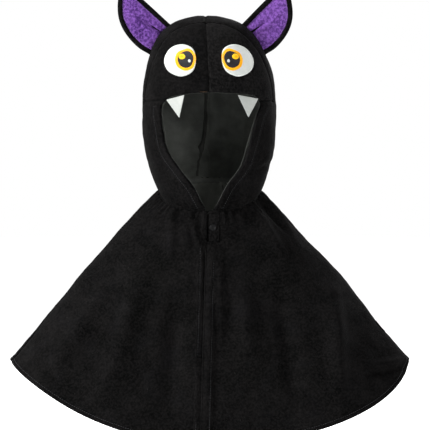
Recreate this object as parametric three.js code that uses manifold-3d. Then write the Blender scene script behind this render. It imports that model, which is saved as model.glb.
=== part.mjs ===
// A child's hooded bat costume cape, standing filled as it hangs when worn.
// Millimetres, +Z up. -Y is the face side and +X the wearer's left. The origin is the centre of the neck ring.
import * as THREE from "three";
import { mergeVertices } from "three/addons/utils/BufferGeometryUtils.js";
import Module from "manifold-3d";

const wasm = await Module();
wasm.setup();

// Cloth thicknesses and the clearances between layers and pieces.
const VELOUR = 3; // the black pile cloth
const LINING = 1.2; // the smooth lining and the facings
const FELT = 1.4; // appliques
const PRINT = 0.8; // the thin layers stacked on the eye whites
const FANG_FELT = 1.6;
const LAYER_GAP = 0.4;
const SEAM_GAP = 0.6; // between panels sewn edge to edge
const FOLD_GAP = 0.8; // along the lines that the cape folds on
const REACH = 900; // longer than the cape, for cutters
const OFFSET_TRUE = 0.97; // the share of an offset that a corner of an offset outline has to keep
const MERGE = 1e-4; // corners this near each other are one
const TINY = 1e-9;
const SURFACE_STEP = 1e-3; // the share of a surface that its direction is measured over
const HEIGHT_HALVINGS = 40; // how often a search for a height halves its range

// The neck ring, where hood and cape meet. Its height changes from throat to nape.
const NECK_HALF_WIDTH = 95;
const NECK_FRONT = 62;
const NECK_BACK = 62;
const NECK_SIDE_Z = -4;
const NECK_FRONT_Z = -38;
const NECK_BACK_Z = 20;
const NECK_ROUNDNESS = 0.92; // power of sine and cosine: 1 is an ellipse, less is squarer
const NECK_TILT_FADE = 130; // height over which the hood's rows become level
const NAPE_HINGE = [1, -0.5]; // from the nape's seam to the line the hood folds on, as y and z

// The hood: height, half width, reach to the front and reach to the back, from the neck to the crown.
const HOOD_ROWS = [
  [NECK_SIDE_Z, NECK_HALF_WIDTH, NECK_FRONT, NECK_BACK],
  [38, 113, 77, 82],
  [95, 125, 91, 99],
  [165, 127, 96, 105],
  [230, 119, 93, 99],
  [285, 97, 78, 82],
  [315, 67, 56, 57],
  [329, 28, 24, 24],
  [331, 0, 0, 0],
];
const HOOD_LEAN_FROM = 200; // above this height the crown leans to the wearer's right
const HOOD_LEAN = -0.055;
const HOOD_AROUND = 12;
const HOOD_UP = 12;

// The face opening, seen from the front, from the throat up the wearer's left side and back down.
const FACE_OPENING = [
  [1, -42],
  [36, 10],
  [64, 47],
  [79, 93],
  [90, 137],
  [98.5, 162],
  [90.5, 175],
  [36, 181],
  [-36, 180],
  [-80, 171],
  [-91, 155],
  [-88, 112],
  [-80, 74],
  [-58, 41],
  [-30, 5],
];
const EDGE_BAND_WIDTH = 15;
const EDGE_BAND_TOP = 155;
const OPENING_SIDES = 56;
const FACE_DEPTH = -10; // the y that the opening is cut back to
const FACE_SEAM_Y = -27; // the seam between forehead and side panel, at the brow
const FACE_SEAM_SLANT = 0.19;
const BROW_Z = 168;

// The wearer's left eye, as x and z outlines and ovals from the front. All layers are mirrored for the other eye.
const EYE_WHITE = [[50, 273.3], [31, 265], [25.8, 245], [33, 222], [56, 212.3], [80, 224], [85.8, 244], [73, 266]];
const IRIS = [[38, 265], [27.5, 256], [25.9, 243], [32, 228], [46, 222.4], [60, 229], [65.2, 243], [60, 257], [50, 262.5]];
const PUPIL = [[39.5, 260], [31.5, 253], [30.3, 243], [36, 231.5], [46, 228], [56, 233], [59.9, 244], [56, 254]];
const AMBER_GLINT = { x: 51.4, z: 249.4, wide: 6.1, high: 5.4 };
const WHITE_GLINT = { x: 38, z: 241, wide: 2.6, high: 3 };
const EYE_SIDES = 20;

// Fangs: the two ends of the sewn edge and the tip, as x and z.
const FANGS = {
  left: [[53.5, 178], [92.5, 171.4], [73.8, 135.8]],
  right: [[-46.5, 177.8], [-80.5, 169], [-56, 134.5]],
};
const FANG_INSET = 2.3; // behind the hood's outer face

// Ears, drawn with the sewn edge along x and the tip up y.
const EAR_BASE_TOP_Z = 315;
const EAR_BASE_BOTTOM_Z = 256.5;
const EAR_Y = -2;
const EAR_THICK = 9;
const EAR_SHELL_BACK = 2.5;
const EAR_WADDING = 2;
const EAR_BORDER = 8.5;
const EAR_ROOT = 14; // how far the drawn outline runs on below the sewn edge, before it is cut to the hood
const EAR_EDGE = [
  [-35.8, 0],
  [-44.3, 68],
  [-46, 104],
  [-40, 113],
  [-19.5, 105],
  [-2.5, 95.4],
  [12.3, 83.4],
  [24.3, 67.3],
  [32.9, 46.2],
  [37.5, 19.4],
  [35.8, 0],
];
const EAR_FLOP = 30; // degrees each way
const EAR_GAP = 0.8;
const EAR_STANDOFF = 2.8; // from the chord of the hood's outline to the ear's sewn edge
const EAR_EDGE_STEPS = 30;
const EAR_HALF_HINGE = 30; // half the length of the line that an ear flops on
const HOOD_ROOM_DEPTH = 25; // how deep under the hood's face the room cleared for an ear runs
const FLOP_SHARES = [-1, -0.5, 0.5, 1];

// The cape below the neck ring.
const HEM_HALF_WIDTH = 379;
const HEM_FRONT = 165;
const HEM_BACK = 165;
const HEM_SIDE_Z = -323;
const HEM_FRONT_DROP = 152;
const HEM_BACK_DROP = 140;
const HEM_ROUNDNESS = { left: 1.12, right: 1.79, back: 2 }; // nearer 1 keeps the hem low out to the side
const SHOULDER_SWELL = 12;
const SWELL_POWER = 0.7;
const NECK_SEAM_DROP = 1; // how far below the hood's edge the cape starts
const CAPE_QUARTER = 10;
const CAPE_DOWN = 5;
const FRONT_SEARCH_STEPS = 60;
const FRONT_SEARCH_AROUND = 400; // millimetres sideways that the search takes as one radian
const FRONT_SEARCH_UP = 500; // millimetres that it takes as the cape's whole height

// The front opening runs from the throat to the hem, a little off to the wearer's right.
const OPENING_TOP_X = -2;
const OPENING_HEM_X = -13;
const OPENING_GAP = 3;
const FACING_WIDTH = 15;
const FACING_END = 12; // how far the facing stops short of the fold and the hem
const FOLD_TOP_Z = -102; // where the front folds start, just below the closure
const FOLD_HEM_X = 240; // where the folds reach the hem, from the centre
const FLAP_TIP = 16; // how much of each flap's pointed top is left off, to clear the other as it opens
const FOLD_LIFT = 4.5; // the fold's axis lies this far in front of the cloth

// The closure tab on the wearer's left, the underlap behind it and the snap through both.
const TAB_X = [-1, 19];
const TAB_Z = [-97, -44];
const UNDERLAP_X = [-9, 15.5];
const UNDERLAP_EDGE_X = -5; // its sewn edge, up to here, is folded thick to meet the wearer's right front
const UNDERLAP_THICK = 1.6;
const UNDERLAP_DEPTH = 5.4; // from the cape's outer face to the underlap's outer face
const SNAP_X = 7;
const SNAP_Z = -71;
const SNAP_CAP_R = 6.2;
const SNAP_CAP_THICK = 1.2;
const SNAP_SOCKET_R = 5;
const SNAP_SOCKET_THICK = 2.9;
const SNAP_POST_R = 2.2;
const SNAP_POST_HIGH = 1.8;
const SNAP_POST_CLEAR = 0.4;
const SNAP_BASE_R = 4.8;
const SNAP_BASE_THICK = 1.5;
const SNAP_HOLE_CLEAR = 0.3;
const SNAP_SIDES = 16;
const SNAP_PROBE = 5; // how far to each side of the snap the cloth's direction is measured
const POST_HOLE_REACH = 10;
const TAB_HINGE_LIFT = 1; // the tab turns on a line this far in front of the cloth

// The tape that covers the neck seam inside.
const TAPE_BELOW = 6; // under the neck ring
const TAPE_WIDTH = 10;
const TAPE_FRONT_STEPS = 3; // how many of the cape's steps round it stays clear of the centre front

const BLACK = { color: 0x121214, roughness: 0.95, metalness: 0 };
const LINING_BLACK = { color: 0x262825, roughness: 0.6, metalness: 0 };
const PURPLE = { color: 0x74508c, roughness: 0.9, metalness: 0 };
const WHITE = { color: 0xf3f7f2, roughness: 0.9, metalness: 0 };
const ORANGE = { color: 0xffb400, roughness: 0.7, metalness: 0 };
const PUPIL_BLACK = { color: 0x232326, roughness: 0.6, metalness: 0 };
const SNAP_BLACK = { color: 0x1c1c1e, roughness: 0.3, metalness: 0.6 };
const EYE_FINISH = { eye_white: WHITE, iris: ORANGE, pupil: PUPIL_BLACK, amber_glint: ORANGE, white_glint: WHITE };

const DEGREE = Math.PI / 180;
const mix = THREE.MathUtils.lerp;
const signedPower = (value, power) => Math.sign(value) * Math.abs(value) ** power;

// A closed geometry as a solid, with shared corners merged and collapsed triangles dropped.
function solidOf(geometry) {
  const bare = new THREE.BufferGeometry().setAttribute("position", geometry.getAttribute("position"));
  bare.setIndex(geometry.index);
  const merged = mergeVertices(bare, MERGE);
  const kept = [];
  for (let i = 0; i < merged.index.count; i += 3) {
    const corners = [0, 1, 2].map((k) => merged.index.getX(i + k));
    if (new Set(corners).size === 3) kept.push(...corners);
  }
  const mesh = { numProp: 3, vertProperties: merged.attributes.position.array, triVerts: new Uint32Array(kept) };
  return new wasm.Manifold(new wasm.Mesh(mesh));
}

// A solid with every corner moved by a function, turned round again if the move mirrors it.
function reshaped(solid, move, mirrors = false) {
  const mesh = solid.getMesh();
  const positions = new Float32Array(mesh.numVert * 3);
  for (let i = 0; i < mesh.numVert; i++) {
    const at = mesh.vertProperties.subarray(i * mesh.numProp, i * mesh.numProp + 3);
    positions.set(move(at[0], at[1], at[2]), i * 3);
  }
  const index = mirrors ? Uint32Array.from(mesh.triVerts).reverse() : Uint32Array.from(mesh.triVerts);
  const geometry = new THREE.BufferGeometry().setAttribute("position", new THREE.BufferAttribute(positions, 3));
  return solidOf(geometry.setIndex(new THREE.BufferAttribute(index, 1)));
}

const reflected = (solid) => reshaped(solid, (x, y, z) => [-x, y, z], true);

// How far the hood has leant sideways at a height.
const leanAt = (z) => HOOD_LEAN * Math.max(0, z - HOOD_LEAN_FROM);
const leant = (solid) => reshaped(solid, (x, y, z) => [x + leanAt(z), y, z]);

// A box between two corners.
function boxOf(low, high) {
  const geometry = new THREE.BoxGeometry(high[0] - low[0], high[1] - low[1], high[2] - low[2]);
  return solidOf(geometry.translate((low[0] + high[0]) / 2, (low[1] + high[1]) / 2, (low[2] + high[2]) / 2));
}

// An outline drawn in x and z, carried from one depth y to another.
function prism(points, yFront, yBack) {
  const shape = new THREE.Shape(points.map(([x, z]) => new THREE.Vector2(x, z)));
  const geometry = new THREE.ExtrudeGeometry(shape, { depth: yBack - yFront, bevelEnabled: false });
  return solidOf(geometry.rotateX(Math.PI / 2).translate(0, yBack, 0));
}

// An outline drawn in y and z, carried right across the cape.
function sidePrism(points) {
  const shape = new THREE.Shape(points.map(([y, z]) => new THREE.Vector2(y, z)));
  const geometry = new THREE.ExtrudeGeometry(shape, { depth: 2 * REACH, bevelEnabled: false });
  const axes = [new THREE.Vector3(0, 1, 0), new THREE.Vector3(0, 0, 1), new THREE.Vector3(1, 0, 0)];
  return solidOf(geometry.applyMatrix4(new THREE.Matrix4().makeBasis(...axes)).translate(-REACH, 0, 0));
}

// A smooth closed outline through its points.
function smoothOutline(points, count) {
  const corners = points.map(([x, z]) => new THREE.Vector3(x, 0, z));
  const curve = new THREE.CatmullRomCurve3(corners, true, "centripetal");
  return curve.getSpacedPoints(count).slice(0, count).map((p) => [p.x, p.z]);
}

// How far a point lies from the nearest edge of an outline.
function awayFrom(points, [x, z]) {
  const at = new THREE.Vector3(x, z, 0);
  const corners = points.map(([a, b]) => new THREE.Vector3(a, b, 0));
  const near = corners.map((corner, i) =>
    new THREE.Line3(corner, corners[(i + 1) % corners.length]).closestPointToPoint(at, true, new THREE.Vector3()),
  );
  return Math.min(...near.map((point) => point.distanceTo(at)));
}

// An outline moved outwards by a distance, or inwards by a negative one, without the loops of tight corners.
function grown(points, distance) {
  const count = points.length;
  const turn = THREE.ShapeUtils.area(points.map(([x, z]) => new THREE.Vector2(x, z))) > 0 ? 1 : -1;
  const moved = points.map(([x, z], i) => {
    const [ax, az] = points[(i + count - 1) % count];
    const [bx, bz] = points[(i + 1) % count];
    const length = Math.hypot(bx - ax, bz - az);
    return [x + (turn * distance * (bz - az)) / length, z - (turn * distance * (bx - ax)) / length];
  });
  return moved.filter((point) => awayFrom(points, point) >= Math.abs(distance) * OFFSET_TRUE);
}

// The point of a surface a distance off its own face. The surface is surface(a, b), with a running round and b running up.
function offsetPoint(surface, a, b, offset) {
  const step = SURFACE_STEP;
  const round = surface(a + step, b).sub(surface(a - step, b));
  const up = surface(a, Math.min(1, b + step)).sub(surface(a, Math.max(0, b - step)));
  const normal = round.cross(up);
  if (normal.length() < TINY) normal.set(0, 0, 1);
  return surface(a, b).add(normal.normalize().multiplyScalar(offset));
}

// A sheet of a surface between two offsets from it, as one closed slab.
function slab(surface, [a0, a1, aSteps], [b0, b1, bSteps], [inner, outer]) {
  const positions = [];
  for (const offset of [inner, outer])
    for (let j = 0; j <= bSteps; j++)
      for (let i = 0; i <= aSteps; i++)
        positions.push(...offsetPoint(surface, mix(a0, a1, i / aSteps), mix(b0, b1, j / bSteps), offset).toArray());
  const at = (side, i, j) => side * (aSteps + 1) * (bSteps + 1) + j * (aSteps + 1) + i;
  const index = [];
  const quad = (p, q, r, s) => index.push(p, q, r, p, r, s);
  for (let j = 0; j < bSteps; j++) {
    for (let i = 0; i < aSteps; i++) {
      quad(at(1, i, j), at(1, i + 1, j), at(1, i + 1, j + 1), at(1, i, j + 1));
      quad(at(0, i, j), at(0, i, j + 1), at(0, i + 1, j + 1), at(0, i + 1, j));
    }
    quad(at(0, 0, j), at(1, 0, j), at(1, 0, j + 1), at(0, 0, j + 1));
    quad(at(1, aSteps, j), at(0, aSteps, j), at(0, aSteps, j + 1), at(1, aSteps, j + 1));
  }
  for (let i = 0; i < aSteps; i++) {
    quad(at(0, i + 1, 0), at(1, i + 1, 0), at(1, i, 0), at(0, i, 0));
    quad(at(0, i, bSteps), at(1, i, bSteps), at(1, i + 1, bSteps), at(0, i + 1, bSteps));
  }
  const geometry = new THREE.BufferGeometry();
  geometry.setAttribute("position", new THREE.Float32BufferAttribute(positions, 3));
  return solidOf(geometry.setIndex(index));
}

// The height of the neck ring at an angle, 0 at the throat and pi at the nape.
function neckHeight(angle) {
  const c = Math.cos(angle);
  const reach = c > 0 ? NECK_FRONT_Z - NECK_SIDE_Z : NECK_BACK_Z - NECK_SIDE_Z;
  return NECK_SIDE_Z + Math.abs(c) * reach;
}

// A cross-section's point at an angle, for its half width and its reach to the front and back.
function ringPoint(angle, halfWidth, front, back, z) {
  const c = Math.cos(angle);
  const x = halfWidth * signedPower(Math.sin(angle), NECK_ROUNDNESS);
  const y = -(c > 0 ? front : back) * signedPower(c, NECK_ROUNDNESS);
  return new THREE.Vector3(x, y, z);
}

const hoodWidths = new THREE.SplineCurve(HOOD_ROWS.map(([z, w]) => new THREE.Vector2(w, z)));
const hoodDepths = new THREE.SplineCurve(HOOD_ROWS.map((row) => new THREE.Vector2(row[2], row[3])));

// The hood's outer face: angle round from the throat, and up from 0 at the neck to 1 at the crown.
function hoodSurface(angle, up) {
  const { x: halfWidth, y: z } = hoodWidths.getPoint(up);
  const { x: front, y: back } = hoodDepths.getPoint(up);
  const level = Math.max(0, 1 - (z - NECK_SIDE_Z) / NECK_TILT_FADE);
  const tilt = (neckHeight(angle) - NECK_SIDE_Z) * level * level;
  return ringPoint(angle, Math.max(0, halfWidth), Math.max(0, front), Math.max(0, back), z + tilt);
}

// How far up the hood a height lies, where its rows are level.
function hoodUpAt(z) {
  let [low, high] = [0, 1];
  for (let i = 0; i < HEIGHT_HALVINGS; i++) {
    const middle = (low + high) / 2;
    if (hoodWidths.getPoint(middle).y < z) low = middle;
    else high = middle;
  }
  return low;
}

// The y of the hood's outer face over a point of the front view.
function faceY(x, z) {
  const up = hoodUpAt(z);
  const share = Math.min(1, Math.abs(x) / hoodWidths.getPoint(up).x);
  return hoodSurface(Math.asin(share ** (1 / NECK_ROUNDNESS)), up).y;
}

// The wearer's left half of a layer of the hood, between two offsets from its outer face.
const halfHood = (inner, outer) =>
  slab(hoodSurface, [0, Math.PI, HOOD_AROUND], [0, 1, HOOD_UP], [inner, outer]).subtract(
    boxOf([-REACH, -REACH, -REACH], [SEAM_GAP / 2, REACH, REACH]),
  );

const facePrism = (growth) => prism(grown(smoothOutline(FACE_OPENING, OPENING_SIDES), growth), -REACH, FACE_DEPTH);

// What lies in front of the seam between the forehead and the side panels, above the brow.
function foreheadRegion(gap) {
  const seam = (z) => FACE_SEAM_Y - FACE_SEAM_SLANT * (z - BROW_Z) - gap;
  const low = BROW_Z + gap;
  const top = REACH;
  return sidePrism([[seam(low), low], [seam(top), top], [-REACH, top], [-REACH, low]]);
}

// The hood's panels, lining and edge bands for both sides, as named solids.
function hoodPieces() {
  const pieces = {};
  const shell = halfHood(-VELOUR, 0);
  const lining = halfHood(-VELOUR - LAYER_GAP - LINING, -VELOUR - LAYER_GAP);
  const bandLayer = halfHood(LAYER_GAP, LAYER_GAP + LINING);
  const opening = facePrism(0);
  const bandArea = facePrism(EDGE_BAND_WIDTH).subtract(opening);
  const bandSpan = boxOf([-REACH, -REACH, -REACH], [REACH, 0, EDGE_BAND_TOP]);
  const forehead = foreheadRegion(SEAM_GAP / 2);
  const foreheadCut = foreheadRegion(-SEAM_GAP / 2);
  for (const [side, turned] of [["left", (s) => s], ["right", reflected]]) {
    pieces["hood_forehead_" + side] = turned(shell).subtract(opening).intersect(forehead);
    pieces["hood_side_" + side] = turned(shell).subtract(opening).subtract(foreheadCut);
    pieces["hood_lining_" + side] = turned(lining).subtract(opening);
    pieces["hood_edge_band_" + side] = turned(bandLayer).intersect(bandArea).intersect(bandSpan);
  }
  return pieces;
}

// An oval outline.
function oval({ x, z, wide, high }) {
  const turns = Array.from({ length: EYE_SIDES }, (_, i) => (2 * Math.PI * i) / EYE_SIDES);
  return turns.map((turn) => [x + wide * Math.cos(turn), z + high * Math.sin(turn)]);
}

// The stacked appliques of both eyes, each resting a layer gap above the one below. The glints share the top level.
function eyePieces() {
  const onPupil = FELT + 2 * PRINT + 4 * LAYER_GAP;
  const layers = {
    eye_white: [smoothOutline(EYE_WHITE, EYE_SIDES), LAYER_GAP, FELT],
    iris: [smoothOutline(IRIS, EYE_SIDES), FELT + 2 * LAYER_GAP, PRINT],
    pupil: [smoothOutline(PUPIL, EYE_SIDES), FELT + PRINT + 3 * LAYER_GAP, PRINT],
    amber_glint: [oval(AMBER_GLINT), onPupil, PRINT],
    white_glint: [oval(WHITE_GLINT), onPupil, PRINT],
  };
  const pieces = {};
  for (const [name, [outline, from, thick]] of Object.entries(layers)) {
    pieces[name + "_left"] = halfHood(from, from + thick).intersect(prism(outline, -REACH, 0));
    pieces[name + "_right"] = reflected(pieces[name + "_left"]);
  }
  return pieces;
}

// A fang's sewn edge in space, from its inner to its outer end.
function fangEdge(side) {
  const [inner, outer] = FANGS[side];
  const ends = [inner, outer].map(([x, z]) => new THREE.Vector3(x, faceY(x, z) + FANG_INSET, z));
  return { start: ends[0], end: ends[1] };
}

// A felt fang hanging from its sewn edge, as a flat triangle.
function fangPiece(side) {
  const { start, end } = fangEdge(side);
  const [inner, outer, tip] = FANGS[side];
  const slope = (end.y - start.y) / (end.x - start.x);
  const geometry = prism([inner, outer, tip], -FANG_FELT / 2, FANG_FELT / 2);
  return reshaped(geometry, (x, y, z) => [x, start.y + slope * (x - start.x) + y, z]);
}

// The ear's sewn edge on the wearer's left: its ends, its middle and the direction towards the tip.
function earSeat() {
  const onHood = (z) => new THREE.Vector3(hoodWidths.getPoint(hoodUpAt(z)).x, EAR_Y, z);
  const top = onHood(EAR_BASE_TOP_Z);
  const bottom = onHood(EAR_BASE_BOTTOM_Z);
  const along = bottom.clone().sub(top).normalize();
  const out = new THREE.Vector3(-along.z, 0, along.x);
  const middle = top.clone().add(bottom).multiplyScalar(0.5).addScaledVector(out, EAR_STANDOFF);
  return { along, out, middle };
}

// An outline drawn in the ear's own plane, carried between two depths behind and in front of its middle.
function earPlate(points, back, front) {
  const { along, out, middle } = earSeat();
  const shape = new THREE.Shape(points.map(([x, y]) => new THREE.Vector2(x, y)));
  const geometry = new THREE.ExtrudeGeometry(shape, { depth: front - back, bevelEnabled: false });
  const facing = new THREE.Matrix4().makeBasis(along, out, new THREE.Vector3(0, -1, 0)).setPosition(middle);
  return solidOf(geometry.translate(0, 0, back).applyMatrix4(facing));
}

// An ear's outline moved in from its edge, and run on straight below the sewn edge to a depth.
function inset(outline, distance, depth) {
  const kept = grown(outline, -distance).filter((point) => point[1] > 0);
  return [[kept[0][0], -depth], ...kept, [kept.at(-1)[0], -depth]];
}

// The room that the hood takes beside an ear through the ear's whole flop.
function hoodBesideEar() {
  const { along, middle } = earSeat();
  let room = halfHood(-HOOD_ROOM_DEPTH, EAR_GAP);
  for (const share of FLOP_SHARES) {
    const turn = new THREE.Matrix4()
      .makeTranslation(middle.x, middle.y, middle.z)
      .multiply(new THREE.Matrix4().makeRotationAxis(along, share * EAR_FLOP * DEGREE))
      .multiply(new THREE.Matrix4().makeTranslation(-middle.x, -middle.y, -middle.z));
    const turned = reshaped(halfHood(-HOOD_ROOM_DEPTH, LAYER_GAP), (x, y, z) =>
      new THREE.Vector3(x, y, z).applyMatrix4(turn).toArray(),
    );
    room = room.add(turned);
  }
  return room;
}

// Each ear is a shell with a raised border, wadding inside it and a purple lining over that.
function earPieces() {
  const curve = new THREE.SplineCurve(EAR_EDGE.map(([x, y]) => new THREE.Vector2(x, y)));
  const edge = curve.getSpacedPoints(EAR_EDGE_STEPS).map((p) => [p.x, p.y]);
  const outline = [[EAR_EDGE[0][0], -EAR_ROOT], ...edge, [EAR_EDGE.at(-1)[0], -EAR_ROOT]];
  const inside = inset(outline, EAR_BORDER, EAR_ROOT + 1);
  const filling = inset(outline, EAR_BORDER + LAYER_GAP, EAR_ROOT);
  const back = -EAR_THICK / 2;
  const floor = back + EAR_SHELL_BACK;
  const room = hoodBesideEar();
  const pieces = {};
  const parts = {
    ear_shell: earPlate(outline, back, -back).subtract(earPlate(inside, floor, EAR_THICK)),
    ear_wadding: earPlate(filling, floor + LAYER_GAP, floor + LAYER_GAP + EAR_WADDING),
    ear_lining: earPlate(filling, floor + 2 * LAYER_GAP + EAR_WADDING, -back - LAYER_GAP),
  };
  for (const [name, part] of Object.entries(parts)) {
    const clear = part.subtract(room);
    pieces[name + "_left"] = clear;
    pieces[name + "_right"] = reflected(clear);
  }
  return pieces;
}

// The cape's outer face: angle round from the centre front, and up from 0 at the hem to 1 at the neck.
function capeSurface(angle, up) {
  const down = 1 - up;
  const c = Math.cos(angle);
  const ring = mix(NECK_ROUNDNESS, 1, down);
  const swell = SHOULDER_SWELL * Math.sin(Math.PI * down ** SWELL_POWER);
  const wide = mix(NECK_HALF_WIDTH, HEM_HALF_WIDTH, down) + swell;
  const deep = c > 0 ? mix(NECK_FRONT, HEM_FRONT, down) : mix(NECK_BACK, HEM_BACK, down);
  const front = angle > 0 ? HEM_ROUNDNESS.left : HEM_ROUNDNESS.right;
  const fall = c > 0 ? HEM_FRONT_DROP * c ** front : HEM_BACK_DROP * (-c) ** HEM_ROUNDNESS.back;
  const hem = HEM_SIDE_Z - fall;
  const x = wide * signedPower(Math.sin(angle), ring);
  return new THREE.Vector3(x, -deep * signedPower(c, ring), mix(neckHeight(angle) - NECK_SEAM_DROP, hem, down));
}

// A sheet of the cape between two angles.
const capeSheet = (from, to, steps, inner, outer) =>
  slab(capeSurface, [from, to, steps], [0, 1, CAPE_DOWN], [inner, outer]);

// The point of the cape's outer face over a point of the front view, found by stepping towards it.
function capeFront(x, z) {
  let [angle, up] = [0, 0.5];
  for (let i = 0; i < FRONT_SEARCH_STEPS; i++) {
    const at = capeSurface(angle, up);
    angle += (x - at.x) / FRONT_SEARCH_AROUND;
    up = THREE.MathUtils.clamp(up + (z - at.z) / FRONT_SEARCH_UP, 0, 1);
  }
  return capeSurface(angle, up);
}

// The x of the front opening at a height.
const openingX = (z) =>
  mix(OPENING_TOP_X, OPENING_HEM_X, (NECK_FRONT_Z - z) / (NECK_FRONT_Z - HEM_SIDE_Z + HEM_FRONT_DROP));

// The area of the front view on one side of the front opening, from a gap out to a width.
function besideOpening(sign, from, to, low = -REACH, high = REACH) {
  const at = (z, distance) => [openingX(z) + sign * distance, z];
  return prism([at(low, from), at(low, to), at(high, to), at(high, from)], -REACH, 0);
}

// The line that a front folds open on, from just below the closure out to the hem.
function foldLine(sign) {
  const hemAngle = Math.asin(FOLD_HEM_X / HEM_HALF_WIDTH);
  const end = capeSurface(sign * hemAngle, 0);
  const start = capeFront(openingX(FOLD_TOP_Z) + sign * OPENING_GAP, FOLD_TOP_Z);
  return { start, end };
}

// The area of the front view below the fold line, a gap away from it, or with a negative gap past it.
function belowFold(sign, gap) {
  const { start, end } = foldLine(sign);
  const run = new THREE.Vector2(end.x - start.x, end.z - start.z).normalize();
  const shift = new THREE.Vector2(-Math.abs(run.y) * sign, -Math.abs(run.x)).multiplyScalar(gap);
  const at = (distance) => [start.x + run.x * distance + shift.x, start.z + run.y * distance + shift.y];
  const far = at(REACH);
  const near = at(-REACH / 3);
  return prism([near, far, [near[0], far[1]]], -REACH, 0);
}

// What lies between two distances below the neck ring.
function belowNeck(from, to) {
  const line = (distance) => [
    [-2 * NECK_FRONT, 2 * NECK_FRONT_Z - NECK_SIDE_Z - distance],
    [0, NECK_SIDE_Z - distance],
    [2 * NECK_BACK, 2 * NECK_BACK_Z - NECK_SIDE_Z - distance],
  ];
  return sidePrism([...line(from), ...line(to).reverse()]);
}

// The four parts of the fronts, their facings, the back and the neck tape.
function capePieces() {
  const quarter = Math.PI / 2;
  const join = SEAM_GAP / HEM_HALF_WIDTH;
  const pieces = { cape_back: capeSheet(quarter + join, 3 * quarter - join, 2 * CAPE_QUARTER, -VELOUR, 0) };
  const tabRoom = prism(
    [
      [TAB_X[0] - FOLD_GAP, TAB_Z[0] - FOLD_GAP],
      [TAB_X[1] + FOLD_GAP, TAB_Z[0] - FOLD_GAP],
      [TAB_X[1] + FOLD_GAP, TAB_Z[1] + FOLD_GAP],
      [TAB_X[0] - FOLD_GAP, TAB_Z[1] + FOLD_GAP],
    ],
    -REACH,
    0,
  );
  const facingLayer = capeSheet(-quarter, quarter, 2 * CAPE_QUARTER, -VELOUR - LAYER_GAP - LINING, -VELOUR - LAYER_GAP);
  const aboveHem = capeSurface(0, 0).z + FACING_END;
  const belowTip = boxOf([-REACH, -REACH, -REACH], [REACH, 0, FOLD_TOP_Z - FLAP_TIP]);
  for (const [side, sign] of [["left", 1], ["right", -1]]) {
    const front = capeSheet(-quarter, quarter, 2 * CAPE_QUARTER, -VELOUR, 0).intersect(
      besideOpening(sign, OPENING_GAP / 2, REACH),
    );
    pieces["cape_front_side_" + side] = front.subtract(belowFold(sign, -FOLD_GAP / 2)).subtract(tabRoom);
    pieces["cape_front_flap_" + side] = front.intersect(belowFold(sign, FOLD_GAP / 2)).intersect(belowTip);
    pieces["front_facing_" + side] = facingLayer
      .intersect(besideOpening(sign, OPENING_GAP, OPENING_GAP + FACING_WIDTH, aboveHem))
      .intersect(belowFold(sign, FACING_END));
  }
  const tapeStart = (TAPE_FRONT_STEPS * quarter) / CAPE_QUARTER;
  const tapeSteps = 4 * CAPE_QUARTER - 2 * TAPE_FRONT_STEPS;
  pieces.neck_tape = capeSheet(
    tapeStart,
    4 * quarter - tapeStart,
    tapeSteps,
    -VELOUR - LAYER_GAP - LINING,
    -VELOUR - LAYER_GAP,
  ).intersect(belowNeck(TAPE_BELOW, TAPE_BELOW + TAPE_WIDTH));
  return pieces;
}

// The snap's axis: its point on the cape's outer face and the way out of the cloth.
function snapSeat() {
  const at = capeFront(SNAP_X, SNAP_Z);
  const down = capeFront(SNAP_X, SNAP_Z - SNAP_PROBE).sub(capeFront(SNAP_X, SNAP_Z + SNAP_PROBE));
  const across = capeFront(SNAP_X + SNAP_PROBE, SNAP_Z).sub(capeFront(SNAP_X - SNAP_PROBE, SNAP_Z));
  return { at, out: down.cross(across).normalize() };
}

// A round piece on the snap's axis, between two heights off the cape's outer face, with a hole if inner is given.
function snapDisc(radius, from, to, inner = 0) {
  const { at, out } = snapSeat();
  const profile = [[inner, from], [radius, from], [radius, to], [inner, to], [inner, from]];
  const geometry = new THREE.LatheGeometry(profile.map(([r, h]) => new THREE.Vector2(r, h)), SNAP_SIDES);
  const turn = new THREE.Quaternion().setFromUnitVectors(new THREE.Vector3(0, 1, 0), out);
  const solid = solidOf(geometry.applyQuaternion(turn).translate(at.x, at.y, at.z));
  return solid.volume() < 0 ? reshaped(solid, (x, y, z) => [x, y, z], true) : solid;
}

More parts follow.
